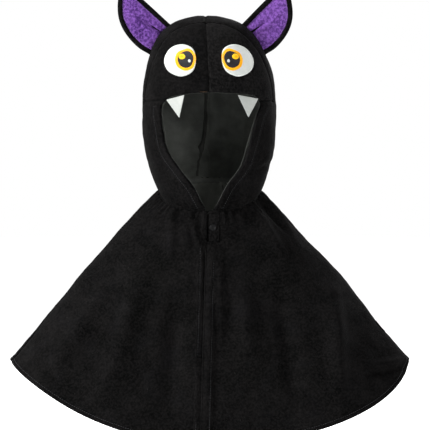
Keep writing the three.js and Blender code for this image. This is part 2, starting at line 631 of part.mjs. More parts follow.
// The closure: a tab over an underlap, held by a snap in four pieces.
function closurePieces() {
  const rectangle = ([x0, x1], [z0, z1]) => prism([[x0, z0], [x1, z0], [x1, z1], [x0, z1]], -REACH, 0);
  const quarter = Math.PI / 2;
  const sheet = (inner, outer) => capeSheet(-quarter, quarter, 2 * CAPE_QUARTER, inner, outer);
  const sewnEdge = sheet(-UNDERLAP_DEPTH - UNDERLAP_THICK, -VELOUR - LAYER_GAP).intersect(
    rectangle([UNDERLAP_X[0], UNDERLAP_EDGE_X], TAB_Z),
  );
  const underlap = sheet(-UNDERLAP_DEPTH - UNDERLAP_THICK, -UNDERLAP_DEPTH)
    .intersect(rectangle(UNDERLAP_X, TAB_Z))
    .add(sewnEdge);
  const [holeFrom, holeTo] = [-UNDERLAP_DEPTH - POST_HOLE_REACH, -UNDERLAP_DEPTH + POST_HOLE_REACH];
  const postHole = snapDisc(SNAP_POST_R + SNAP_HOLE_CLEAR, holeFrom, holeTo);
  const studTop = -UNDERLAP_DEPTH + LAYER_GAP + SNAP_BASE_THICK;
  const post = snapDisc(SNAP_POST_R, studTop - SNAP_BASE_THICK / 2, studTop + SNAP_POST_HIGH);
  const backTop = -UNDERLAP_DEPTH - UNDERLAP_THICK - LAYER_GAP;
  return {
    closure_tab: sheet(-VELOUR, 0)
      .intersect(rectangle(TAB_X, TAB_Z))
      .subtract(snapDisc(SNAP_SOCKET_R + SNAP_HOLE_CLEAR, -VELOUR * 3, VELOUR)),
    closure_underlap: underlap.subtract(postHole),
    snap_cap: snapDisc(SNAP_CAP_R, LAYER_GAP, LAYER_GAP + SNAP_CAP_THICK),
    snap_socket: snapDisc(SNAP_SOCKET_R, -SNAP_SOCKET_THICK, 0, SNAP_POST_R + SNAP_POST_CLEAR),
    snap_stud: snapDisc(SNAP_BASE_R, studTop - SNAP_BASE_THICK, studTop).add(post),
    snap_stud_back: snapDisc(SNAP_BASE_R, backTop - SNAP_BASE_THICK, backTop),
  };
}

// The hinge lines of everything that moves, each as a point on the line and its direction.
function hingeLines() {
  const nape = hoodSurface(Math.PI, 0);
  const { along, middle } = earSeat();
  const mirror = (v) => new THREE.Vector3(-v.x, v.y, v.z);
  const lean = (v) => new THREE.Vector3(v.x + leanAt(v.z), v.y, v.z);
  const lines = { hood_fold: { at: nape.clone().add(new THREE.Vector3(0, ...NAPE_HINGE)), axis: new THREE.Vector3(-1, 0, 0) } };
  const earStart = middle.clone().addScaledVector(along, -EAR_HALF_HINGE);
  const earEnd = middle.clone().addScaledVector(along, EAR_HALF_HINGE);
  for (const [side, turned] of [["left", (v) => v], ["right", mirror]]) {
    const ends = [lean(turned(earStart)), lean(turned(earEnd))];
    const [from, to] = side === "left" ? ends : ends.reverse();
    lines["ear_flop_" + side] = { at: from.clone().add(to).multiplyScalar(0.5), axis: to.sub(from).normalize() };
  }
  for (const [side, sign] of [["left", 1], ["right", -1]]) {
    const { start, end } = fangEdge(side);
    const axis = end.clone().sub(start).normalize().multiplyScalar(-sign);
    lines["fang_swing_" + side] = { at: lean(start), axis };
  }
  for (const [side, sign] of [["left", 1], ["right", -1]]) {
    const { start, end } = foldLine(sign);
    const axis = end.clone().sub(start).normalize().multiplyScalar(-sign);
    lines["front_open_" + side] = { at: start.clone().add(new THREE.Vector3(0, -FOLD_LIFT, 0)), axis };
  }
  const tabTop = capeFront(TAB_X[1] + FOLD_GAP / 2, TAB_Z[1]);
  const tabFoot = capeFront(TAB_X[1] + FOLD_GAP / 2, TAB_Z[0]);
  lines.tab_open = { at: tabTop.clone().add(new THREE.Vector3(0, -TAB_HINGE_LIFT, 0)), axis: tabTop.clone().sub(tabFoot).normalize() };
  return lines;
}

// A solid as a named mesh with its finish.
function meshOf(name, solid, finish) {
  const mesh = solid.getMesh();
  const geometry = new THREE.BufferGeometry();
  geometry.setAttribute("position", new THREE.Float32BufferAttribute(mesh.vertProperties, mesh.numProp));
  geometry.setIndex(new THREE.BufferAttribute(Uint32Array.from(mesh.triVerts), 1));
  geometry.computeVertexNormals();
  const made = new THREE.Mesh(geometry, new THREE.MeshStandardMaterial(finish));
  made.name = name;
  return made;
}

// The finish that a piece's name asks for.
function finishOf(name) {
  const eye = Object.keys(EYE_FINISH).find((key) => name.startsWith(key));
  if (eye) return EYE_FINISH[eye];
  if (name.startsWith("fang") || name.startsWith("ear_wadding")) return WHITE;
  if (name.startsWith("ear_lining")) return PURPLE;
  if (name.startsWith("hood_lining") || name.startsWith("front_facing") || name === "neck_tape") return LINING_BLACK;
  return name.startsWith("snap") ? SNAP_BLACK : BLACK;
}

const hoodGroup = new THREE.Group();
const onHood = { ...hoodPieces(), ...eyePieces(), ...earPieces() };
onHood.fang_left = fangPiece("left");
onHood.fang_right = fangPiece("right");
for (const [name, solid] of Object.entries(onHood)) hoodGroup.add(meshOf(name, leant(solid), finishOf(name)));

const capeGroup = new THREE.Group();
const onCape = { ...capePieces(), ...closurePieces() };
for (const [name, solid] of Object.entries(onCape)) capeGroup.add(meshOf(name, solid, finishOf(name)));

const costume = new THREE.Group();
costume.add(hoodGroup, capeGroup);
costume.userData.hinges = hingeLines();

export default costume;
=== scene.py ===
"""A child's hooded bat costume cape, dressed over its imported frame.

Metres, +Z up. -Y is the face side and +X the wearer's left. The origin is the centre of the neck ring.
"""

import logging
import math
from collections.abc import Callable, Sequence
from dataclasses import dataclass, field, replace
from enum import Enum

import bmesh
import bpy
import numpy as np
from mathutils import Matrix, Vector, kdtree, noise
from mathutils.bvhtree import BVHTree


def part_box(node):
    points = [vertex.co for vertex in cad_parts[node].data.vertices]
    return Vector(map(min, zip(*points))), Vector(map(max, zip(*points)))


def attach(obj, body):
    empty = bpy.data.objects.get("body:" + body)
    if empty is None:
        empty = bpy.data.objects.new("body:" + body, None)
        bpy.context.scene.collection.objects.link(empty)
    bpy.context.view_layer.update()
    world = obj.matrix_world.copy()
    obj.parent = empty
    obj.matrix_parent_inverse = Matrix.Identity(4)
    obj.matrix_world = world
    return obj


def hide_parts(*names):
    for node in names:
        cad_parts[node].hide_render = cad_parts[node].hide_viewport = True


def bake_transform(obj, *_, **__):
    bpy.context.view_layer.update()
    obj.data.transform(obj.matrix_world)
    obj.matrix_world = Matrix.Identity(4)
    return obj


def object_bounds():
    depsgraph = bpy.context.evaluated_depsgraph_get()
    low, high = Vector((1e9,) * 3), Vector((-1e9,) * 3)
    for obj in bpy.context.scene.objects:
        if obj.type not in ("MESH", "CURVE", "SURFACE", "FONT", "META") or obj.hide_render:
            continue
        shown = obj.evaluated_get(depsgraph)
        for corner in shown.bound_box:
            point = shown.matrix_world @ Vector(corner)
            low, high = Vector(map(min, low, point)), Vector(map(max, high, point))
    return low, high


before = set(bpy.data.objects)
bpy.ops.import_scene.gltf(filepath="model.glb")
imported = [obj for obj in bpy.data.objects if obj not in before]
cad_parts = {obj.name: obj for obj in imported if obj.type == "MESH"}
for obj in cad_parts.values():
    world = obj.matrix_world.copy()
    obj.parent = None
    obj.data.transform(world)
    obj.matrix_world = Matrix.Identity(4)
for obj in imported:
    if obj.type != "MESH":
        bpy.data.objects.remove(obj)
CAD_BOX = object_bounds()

LOG = logging.getLogger("bat_cape")
Point = tuple[float, float]
Array = np.ndarray
QUARTER = math.pi / 2
EDGE_STEPS = (0.0008, 0.002, 0.0035)


class Side(Enum):
    """The wearer's left or right, with the sign of its x."""

    LEFT = 1
    RIGHT = -1

    @property
    def word(self) -> str:
        """The side's name as it ends a piece's name."""
        return self.name.lower()


class Face(Enum):
    """Whether a fold lies on the front or the back of the costume."""

    FRONT = -1
    BACK = 1


class Body(str, Enum):
    """The moving bodies that pieces ride on."""

    CAPE = "drape"
    HOOD = "hood"
    TAB = "closure_tab"


class SlotName(str, Enum):
    """The record's material slots."""

    VELOUR = "velour"
    LINING = "lining"
    TAPE = "tape"
    PLUSH = "purple_plush"
    FELT = "white_felt"
    ORANGE = "orange_print"
    DARK = "dark_print"
    ENAMEL = "snap_enamel"


# ---------------------------------------------------------------- shapes shared by all pieces


def signed_power(value: Array, power: float) -> Array:
    """The value's size raised to a power, with its sign kept."""
    return np.sign(value) * np.abs(value) ** power


def smooth_step(value: Array) -> Array:
    """A value held from 0 to 1 and eased at both ends."""
    held = np.clip(value, 0, 1)
    return held * held * (3 - 2 * held)


def unit(vectors: Array) -> Array:
    """Vectors at length 1, and straight up where they have no length."""
    length = np.linalg.norm(vectors, axis=-1, keepdims=True)
    return np.where(length > 1e-12, vectors / np.maximum(length, 1e-12), np.array([0.0, 0.0, 1.0]))


def flat_unit(vectors: Array) -> Array:
    """Directions of the front view at length 1."""
    return vectors / np.maximum(np.linalg.norm(vectors, axis=-1, keepdims=True), 1e-12)


def bell(away: Array, width: float) -> Array:
    """A smooth bump: 1 at no distance, fading over a width."""
    return np.exp(-((away / width) ** 2))


def row_spline(rows: Array, at: Array) -> Array:
    """A smooth curve through rows of numbers.

    Args:
        rows: the rows, one a knot.
        at: places from 0, the first row, to 1, the last.
    Returns:
        One row of numbers a place.
    """
    last = len(rows) - 1
    spot = np.clip(at, 0, 1) * last
    base = np.minimum(spot.astype(int), last - 1)
    share = (spot - base)[..., None]
    p0, p1 = rows[np.maximum(base - 1, 0)], rows[base]
    p2, p3 = rows[base + 1], rows[np.minimum(base + 2, last)]
    v0, v1 = (p2 - p0) / 2, (p3 - p1) / 2
    return (
        (2 * p1 - 2 * p2 + v0 + v1) * share**3
        + (-3 * p1 + 3 * p2 - 2 * v0 - v1) * share**2
        + v0 * share
        + p1
    )


def smooth_line(points: Sequence[Point], closed: bool, step: float) -> Array:
    """A smooth line through points, spaced evenly.

    Args:
        points: the points it passes through.
        closed: whether it runs back to its start.
        step: the distance between the points of the result, in metres.
    Returns:
        The line's points. A closed line's first point isn't repeated.
    """
    knots = np.array(points, float)
    count = len(knots)
    spans = count if closed else count - 1
    dense = []
    for i in range(spans):
        picks = [i - 1, i, i + 1, i + 2]
        picks = [k % count if closed else min(max(k, 0), count - 1) for k in picks]
        p = knots[picks]
        if not closed and i == 0:
            p[0] = 2 * p[1] - p[2]
        if not closed and i == spans - 1:
            p[3] = 2 * p[2] - p[1]
        t = np.concatenate([[0], np.cumsum(np.linalg.norm(np.diff(p, axis=0), axis=1) ** 0.5)])
        s = np.linspace(t[1], t[2], 16, endpoint=False)[:, None]
        a1, a2, a3 = [((t[k + 1] - s) * p[k] + (s - t[k]) * p[k + 1]) / (t[k + 1] - t[k]) for k in range(3)]
        b1 = ((t[2] - s) * a1 + (s - t[0]) * a2) / (t[2] - t[0])
        b2 = ((t[3] - s) * a2 + (s - t[1]) * a3) / (t[3] - t[1])
        dense.append(((t[2] - s) * b1 + (s - t[1]) * b2) / (t[2] - t[1]))
    line = np.concatenate(dense + [knots[:1] if closed else knots[-1:]])
    run = np.concatenate([[0], np.cumsum(np.linalg.norm(np.diff(line, axis=0), axis=1))])
    number = max(3, round(run[-1] / step))
    at = np.linspace(0, run[-1], number + 1)
    even = np.stack([np.interp(at, run, line[:, k]) for k in range(line.shape[1])], axis=1)
    return even[:-1] if closed else even


# ---------------------------------------------------------------- the surfaces that the cloth follows


class Form:
    """A surface wound round the wearer: angle from the front, and up from its foot to its top."""

    def place(self, angle: Array, up: Array) -> Array:
        """Points of the surface."""
        raise NotImplementedError

    def normal(self, angle: Array, up: Array) -> Array:
        """Directions straight out of the surface.

        Args:
            angle: angles round the form.
            up: places up the form.
        Returns:
            One direction a point.
        """
        step = 1e-3
        round_ = self.place(angle + step, up) - self.place(angle - step, up)
        rise = self.place(angle, np.minimum(1, up + step)) - self.place(angle, np.maximum(0, up - step))
        return unit(np.cross(round_, rise))


@dataclass(frozen=True)
class NeckRing:
    """The seam ring where hood and cape meet, low at the throat and high at the nape."""

    half_width: float = 0.095
    reach: float = 0.062
    side_z: float = -0.004
    front_z: float = -0.038
    back_z: float = 0.020
    roundness: float = 0.92

    def height(self, angle: Array) -> Array:
        """The ring's height at an angle."""
        c = np.cos(angle)
        return self.side_z + np.abs(c) * np.where(
            c > 0, self.front_z - self.side_z, self.back_z - self.side_z,
        )


@dataclass
class HoodForm(Form):
    """The hood's outer face. Each row holds height, half width, reach to the front and reach to the back."""

    neck: NeckRing = field(default_factory=NeckRing)
    rows: tuple[tuple[float, float, float, float], ...] = (
        (-0.004, 0.095, 0.062, 0.062),
        (0.038, 0.113, 0.077, 0.082),
        (0.095, 0.125, 0.091, 0.099),
        (0.165, 0.127, 0.096, 0.105),
        (0.230, 0.119, 0.093, 0.099),
        (0.285, 0.097, 0.078, 0.082),
        (0.315, 0.067, 0.056, 0.057),
        (0.329, 0.028, 0.024, 0.024),
        (0.331, 0.0, 0.0, 0.0),
    )
    tilt_fade: float = 0.130
    lean_from: float = 0.200
    lean: float = -0.055

    def section(self, up: Array) -> Array:
        """Height, half width, front reach and back reach at places up the hood."""
        made = row_spline(np.array(self.rows), up)
        made[..., 1:] = np.maximum(made[..., 1:], 0)
        return made

    def place(self, angle: Array, up: Array) -> Array:
        """Points of the hood, before the crown leans.

        Args:
            angle: angles round the form.
            up: places up the form.
        Returns:
            The points, in metres.
        """
        angle, up = np.broadcast_arrays(np.asarray(angle, float), np.asarray(up, float))
        z, wide, front, back = np.moveaxis(self.section(up), -1, 0)
        level = np.maximum(0, 1 - (z - self.neck.side_z) / self.tilt_fade)
        tilt = (self.neck.height(angle) - self.neck.side_z) * level**2
        c = np.cos(angle)
        x = wide * signed_power(np.sin(angle), self.neck.roundness)
        y = -np.where(c > 0, front, back) * signed_power(c, self.neck.roundness)
        return np.stack([x, y, z + tilt], axis=-1)

    def up_at(self, z: Array) -> Array:
        """How far up the hood a height lies, where its rows are level."""
        ups = np.linspace(0, 1, 2001)
        return np.interp(z, self.section(ups)[:, 0], ups)

    def leant(self, points: Array) -> Array:
        """Points with the crown's lean to the wearer's right."""
        moved = np.array(points, float)
        moved[..., 0] += self.lean * np.maximum(0, moved[..., 2] - self.lean_from)
        return moved


@dataclass
class CapeForm(Form):
    """The cape's outer face from the hem, at 0, up to the neck, at 1."""

    neck: NeckRing = field(default_factory=NeckRing)
    half_width: float = 0.379
    reach: float = 0.165
    side_z: float = -0.323
    front_drop: float = 0.152
    back_drop: float = 0.140
    roundness_left: float = 1.12
    roundness_right: float = 1.79
    swell: float = 0.012
    swell_power: float = 0.7
    seam_drop: float = 0.001
    slant: float = 0.43
    opening_top: Point = (-0.002, -0.038)
    opening_foot: Point = (-0.013, -0.475)

    def place(self, angle: Array, up: Array) -> Array:
        """Points of the cape.

        Args:
            angle: angles round the form.
            up: places up the form.
        Returns:
            The points, in metres.
        """
        angle, up = np.broadcast_arrays(np.asarray(angle, float), np.asarray(up, float))
        down, c = np.clip(1 - up, 0, 1), np.cos(angle)
        ring = self.neck.roundness + (1 - self.neck.roundness) * down
        wide = self.neck.half_width + (self.half_width - self.neck.half_width) * down
        wide = wide + self.swell * np.sin(math.pi * down**self.swell_power)
        deep = self.neck.reach + (self.reach - self.neck.reach) * down
        front = np.where(angle > 0, self.roundness_left, self.roundness_right)
        fall = np.where(c > 0, self.front_drop * np.maximum(c, 0) ** front, self.back_drop * c * c)
        hem = self.side_z - fall
        top = self.neck.height(angle) - self.seam_drop
        x = wide * signed_power(np.sin(angle), ring)
        return np.stack([x, -deep * signed_power(c, ring), top + (hem - top) * down], axis=-1)

    def opening_x(self, z: Array) -> Array:
        """The x of the front opening at a height."""
        (x0, z0), (x1, z1) = self.opening_top, self.opening_foot
        return x0 + (x1 - x0) * (z0 - z) / (z0 - z1)


@dataclass(frozen=True)
class Crease:
    """A soft ridge, or with a negative height a valley, along a line of the front view."""

    start: Point
    end: Point
    width: float
    height: float
    face: Face = Face.FRONT

    def at(self, points: Array) -> Array:
        """Its height at points of the cloth.

        Args:
            points: points of the cloth.
        Returns:
            One height a point.
        """
        a, b = np.array(self.start), np.array(self.end)
        flat = points[..., [0, 2]]
        share = np.clip(((flat - a) @ (b - a)) / ((b - a) @ (b - a)), 0, 1)
        away = np.linalg.norm(flat - (a + share[..., None] * (b - a)), axis=-1)
        fade = np.sqrt(np.sin(math.pi * np.clip(share, 0.03, 0.97)))
        return self.height * bell(away, self.width) * fade * (points[..., 1] * self.face.value > 0)


@dataclass(frozen=True)
class Channel:
    """A seam, a stitched groove or a rounded edge: the cloth dips along a line in space."""

    line: Array
    depth: float = 0.0016
    width: float = 0.0026

    def at(self, points: Array) -> Array:
        """Its height at points of the cloth.

        Args:
            points: points of the cloth.
        Returns:
            One height a point.
        """
        tree = kdtree.KDTree(len(self.line))
        for i, spot in enumerate(self.line):
            tree.insert(spot, i)
        tree.balance()
        flat = points.reshape(-1, 3)
        away = np.array([tree.find(p)[2] for p in flat]).reshape(points.shape[:-1])
        return -self.depth * bell(away, self.width)


@dataclass(frozen=True)
class Unevenness:
    """Soft rises and dips all over a cloth."""

    height: float
    size: float
    seed: float = 0.0
    stretch: tuple[float, float, float] = (1.0, 1.0, 1.0)

    def at(self, points: Array) -> Array:
        """Its height at points of the cloth."""
        scaled = points.reshape(-1, 3) * np.array(self.stretch) / self.size + self.seed
        found = [noise.noise(Vector(p)) for p in scaled]
        return self.height * np.array(found).reshape(points.shape[:-1])


@dataclass
class Cloth:
    """A cloth that follows a form, raised or sunk by its reliefs."""

    form: Form
    reliefs: list[object]
    offset: float = 0.0
    extra: Callable[[Array, Array, Array], Array] | None = None
    inward_only: bool = False

    def lay(self, angle: Array, up: Array) -> tuple[Array, Array]:
        """Points and outward directions of the cloth.

        Args:
            angle: angles round the form.
            up: places up the form.
        Returns:
            The points, and the form's directions there.
        """
        base, out = self.form.place(angle, up), self.form.normal(angle, up)
        height = sum((relief.at(base) for relief in self.reliefs), np.zeros(base.shape[:-1]))
        if self.extra:
            height = height + self.extra(base, angle, up)
        if self.inward_only:
            height = -np.abs(height)
        return base + out * (height + self.offset)[..., None], out


# ---------------------------------------------------------------- meshes


def graded(length: float, step: float, start: Sequence[float] = (), end: Sequence[float] = ()) -> Array:
    """Places from 0 to 1, evenly spaced, with more of them near the ends.

    Args:
        length: the real length, in metres.
        step: the even spacing.
        start: distances from the start that get a place of their own.
        end: distances from the end that get a place of their own.
    Returns:
        The places, in order.
    """
    low, high = max([0.0, *start]), length - max([0.0, *end])
    middle = np.linspace(low, high, max(2, round((high - low) / step) + 1))
    spots = [0.0, *start, *middle, *(length - d for d in end), length]
    return np.unique(np.round(spots, 6)) / length


def grid_faces(rows: int, columns: int, turned: bool, first: int = 0) -> list[tuple[int, ...]]:
    """The faces of a grid of points.

    Args:
        rows: how many rows of points.
        columns: how many points a row.
        turned: whether the faces look the other way.
        first: the index of the grid's first point.
    Returns:
        One tuple of four indices a face.
    """
    faces = []
    for i in range(rows - 1):
        for j in range(columns - 1):
            a = first + i * columns + j
            quad = (a, a + 1, a + columns + 1, a + columns)
            faces.append(quad[::-1] if turned else quad)
    return faces


def new_piece(
    name: str,
    points: Array,
    faces: list,
    material: bpy.types.Material,
    weld: float = 1e-5,
) -> bpy.types.Object:
    """A smooth-shaded mesh object.

    Args:
        name: the piece's name.
        points: its points.
        faces: its faces, as tuples of indices.
        material: its finish.
        weld: how near points have to be to become one.
    Returns:
        The object, linked to the scene.
    """
    mesh = bpy.data.meshes.new(name)
    mesh.from_pydata(np.asarray(points, float).reshape(-1, 3).tolist(), [], faces)
    mesh.validate()
    work = bmesh.new()
    work.from_mesh(mesh)
    bmesh.ops.remove_doubles(work, verts=work.verts, dist=weld)
    bmesh.ops.dissolve_degenerate(work, edges=work.edges, dist=weld / 10)
    work.to_mesh(mesh)
    work.free()
    mesh.shade_smooth()
    mesh.materials.append(material)
    piece = bpy.data.objects.new(name, mesh)
    bpy.context.scene.collection.objects.link(piece)
    return piece


def grids_piece(
    name: str,
    grids: list[Array],
    turned: bool,
    material: bpy.types.Material,
) -> bpy.types.Object:
    """A mesh object of several grids, sewn together where their edges meet.

    Args:
        name: the piece's name.
        grids: arrays of points, rows by columns.
        turned: whether the faces look the other way.
        material: its finish.
    Returns:
        The object.
    """
    points, faces, first = [], [], 0
    for grid in grids:
        rows, columns = grid.shape[:2]
        points.append(grid.reshape(-1, 3))
        faces += grid_faces(rows, columns, turned, first)
        first += rows * columns
    return new_piece(name, np.concatenate(points), faces, material)


def thicken(piece: bpy.types.Object, thickness: float, offset: float = -1.0) -> bpy.types.Object:
    """Gives a sheet its real thickness."""
    solid = piece.modifiers.new("thickness", "SOLIDIFY")
    solid.thickness, solid.offset, solid.use_even_offset = thickness, offset, False
    return piece


def soften(piece: bpy.types.Object, levels: int = 1) -> bpy.types.Object:
    """Rounds a piece off by subdivision."""
    rounding = piece.modifiers.new("rounding", "SUBSURF")
    rounding.levels = rounding.render_levels = levels
    return piece


def dress(piece: bpy.types.Object, slot: SlotName, *nodes: str) -> bpy.types.Object:
    """Hides the frame's nodes that a piece stands for."""
    if nodes:
        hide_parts(*nodes)
    return piece


def capped(
    outline: Array,
    centre: Array,
    rings: Sequence[float],
    lay: Callable[[Array, float], Array],
) -> tuple[Array, list]:
    """A disc of any outline, made of rings that shrink to its centre.

    Args:
        outline: the outline's flat points.
        centre: the flat point it shrinks to.
        rings: the rings' sizes, from 1 at the outline down to near 0.
        lay: gives points in space for flat points and their ring's size.
    Returns:
        The points and the faces.
    """
    count = len(outline)
    layers = [lay(centre + (outline - centre) * size, size) for size in rings]
    points = np.concatenate(layers + [lay(centre[None, :], 0.0)])
    faces = []
    for k in range(len(rings) - 1):
        for i in range(count):
            j = (i + 1) % count
            faces.append((k * count + i, k * count + j, (k + 1) * count + j, (k + 1) * count + i))
    inner, tip = (len(rings) - 1) * count, len(rings) * count
    faces += [(inner + i, inner + (i + 1) % count, tip) for i in range(count)]
    return points, faces


@dataclass
class Ground:
    """A surface that appliques and bands lie on, found from straight in front."""

    tree: BVHTree

    @classmethod
    def of(cls, grid: Array) -> "Ground":
        """The ground of one grid of points."""
        faces = grid_faces(grid.shape[0], grid.shape[1], False)
        return cls(BVHTree.FromPolygons(grid.reshape(-1, 3).tolist(), faces))

    def on(self, flat: Array) -> tuple[Array, Array]:
        """Points of the surface over x and z, and the directions out of it.

        Args:
            flat: x and z, one row a point.
        Returns:
            The points and the directions.
        """
        places, outs = [], []
        for x, z in flat:
            hit, out, _, _ = self.tree.ray_cast(Vector((x, -1.0, z)), Vector((0, 1, 0)))
            if hit is None:
                hit, out, _, _ = self.tree.find_nearest(Vector((x, -0.08, z)))
            places.append(hit)
            outs.append(-out if out.y > 0 else out)
        return np.array(places), np.array(outs)


@dataclass(frozen=True)
class Thread:
    """A run of sewn stitches along a line."""

    stitch: float = 0.0030
    gap: float = 0.0013
    radius: float = 0.00042
    sink: float = 0.0001

    def mesh(self, line: Array, outs: Array, closed: bool = False) -> tuple[Array, list]:
        """The stitches as one set of points and faces.

        Args:
            line: the line's points in space.
            outs: the directions out of the cloth along it.
            closed: whether the line runs back to its start.
        Returns:
            The points and the faces.
        """
        if closed:
            line, outs = np.concatenate([line, line[:1]]), np.concatenate([outs, outs[:1]])
        run = np.concatenate([[0], np.cumsum(np.linalg.norm(np.diff(line, axis=0), axis=1))])
        pitch = self.stitch + self.gap
        points, faces = [], []
        for k in range(int(run[-1] / pitch)):
            spans = k * pitch + self.gap / 2 + self.stitch * np.array([0.0, 0.18, 0.5, 0.82, 1.0])
            spots = np.stack([np.interp(spans, run, line[:, c]) for c in range(3)], axis=1)
            out = unit(np.stack([np.interp(spans, run, outs[:, c]) for c in range(3)], axis=1))
            along = unit(spots[-1:] - spots[:1])
            side = unit(np.cross(along, out))
            first = len(points)
            for m, fat in enumerate((0.15, 0.85, 1.0, 0.85, 0.15)):
                rise = out[m] * (self.radius * fat - self.sink)
                for turn in np.arange(5) * (2 * math.pi / 5):
                    ring = out[m] * math.sin(turn) + side[m] * math.cos(turn)
                    points.append(spots[m] + rise + ring * self.radius * fat)
            for m in range(4):
                for i in range(5):
                    a, b = first + m * 5 + i, first + m * 5 + (i + 1) % 5
                    faces.append((a, b, b + 5, a + 5))
            faces += [tuple(range(first + 4, first - 1, -1)), tuple(range(first + 20, first + 25))]
        return np.array(points).reshape(-1, 3), faces


def face_out(piece: bpy.types.Object) -> None:
    """Turns every face of a closed piece outwards.

    Args:
        piece: the piece, whose own mesh is changed.
    """
    work = bmesh.new()
    work.from_mesh(piece.data)
    bmesh.ops.recalc_face_normals(work, faces=work.faces)
    work.to_mesh(piece.data)
    work.free()


def joined(parts: Sequence[tuple[Array, list]]) -> tuple[Array, list]:
    """Several sets of points and faces as one."""
    points, faces, first = [], [], 0
    for some, quads in parts:
        points.append(some)
        faces += [tuple(i + first for i in quad) for quad in quads]
        first += len(some)
    return np.concatenate(points), faces


# ---------------------------------------------------------------- finishes


def linear(colour: int) -> tuple[float, float, float, float]:
    """A hex colour as the linear numbers that a shader takes."""
    parts = [(colour >> shift & 255) / 255 for shift in (16, 8, 0)]
    r, g, b = [c / 12.92 if c <= 0.04045 else ((c + 0.055) / 1.055) ** 2.4 for c in parts]
    return (r, g, b, 1.0)


def blank_material(name: str) -> bpy.types.Material:
    """A material with an empty node tree.

    Args:
        name: the material's name.
    Returns:
        The material.
    """
    made = bpy.data.materials.new(name)
    made.use_nodes = True
    made.node_tree.nodes.clear()
    return made


class Wiring:
    """Places the nodes of one tree and joins them."""

    def __init__(self, tree: bpy.types.NodeTree) -> None:
        """Starts on a tree."""
        self.tree = tree

    def node(
        self,
        kind: str,
        inputs: dict[str | int, object] | None = None,
        **settings: object,
    ) -> bpy.types.Node:
        """Adds a node.

        Args:
            kind: the node's type, without its Shader prefix.
            inputs: values or sockets for its inputs, by name or number.
            settings: its own properties.
        Returns:
            The node.
        """
        made = self.tree.nodes.new("ShaderNode" + kind)
        for name, value in settings.items():
            setattr(made, name, value)
        for name, value in (inputs or {}).items():
            if isinstance(value, bpy.types.NodeSocket):
                self.tree.links.new(value, made.inputs[name])
            else:
                made.inputs[name].default_value = value
        return made

    def maths(
        self,
        operation: str,
        first: object,
        second: object = 0.0,
        held: bool = False,
    ) -> bpy.types.NodeSocket:
        """The result of one sum."""
        return self.node("Math", {0: first, 1: second}, operation=operation, use_clamp=held).outputs[0]

    def ranged(
        self,
        value: bpy.types.NodeSocket,
        low: float,
        high: float,
        to_low: float,
        to_high: float,
    ) -> bpy.types.NodeSocket:
        """A value carried from one range to another."""
        inputs = {"Value": value, 1: low, 2: high, 3: to_low, 4: to_high}
        return self.node("MapRange", inputs, clamp=True).outputs["Result"]

    def blended(self, share: object, first: object, second: object) -> bpy.types.NodeSocket:
        """Two colours mixed."""
        return self.node("Mix", {0: share, 6: first, 7: second}, data_type="RGBA").outputs[2]


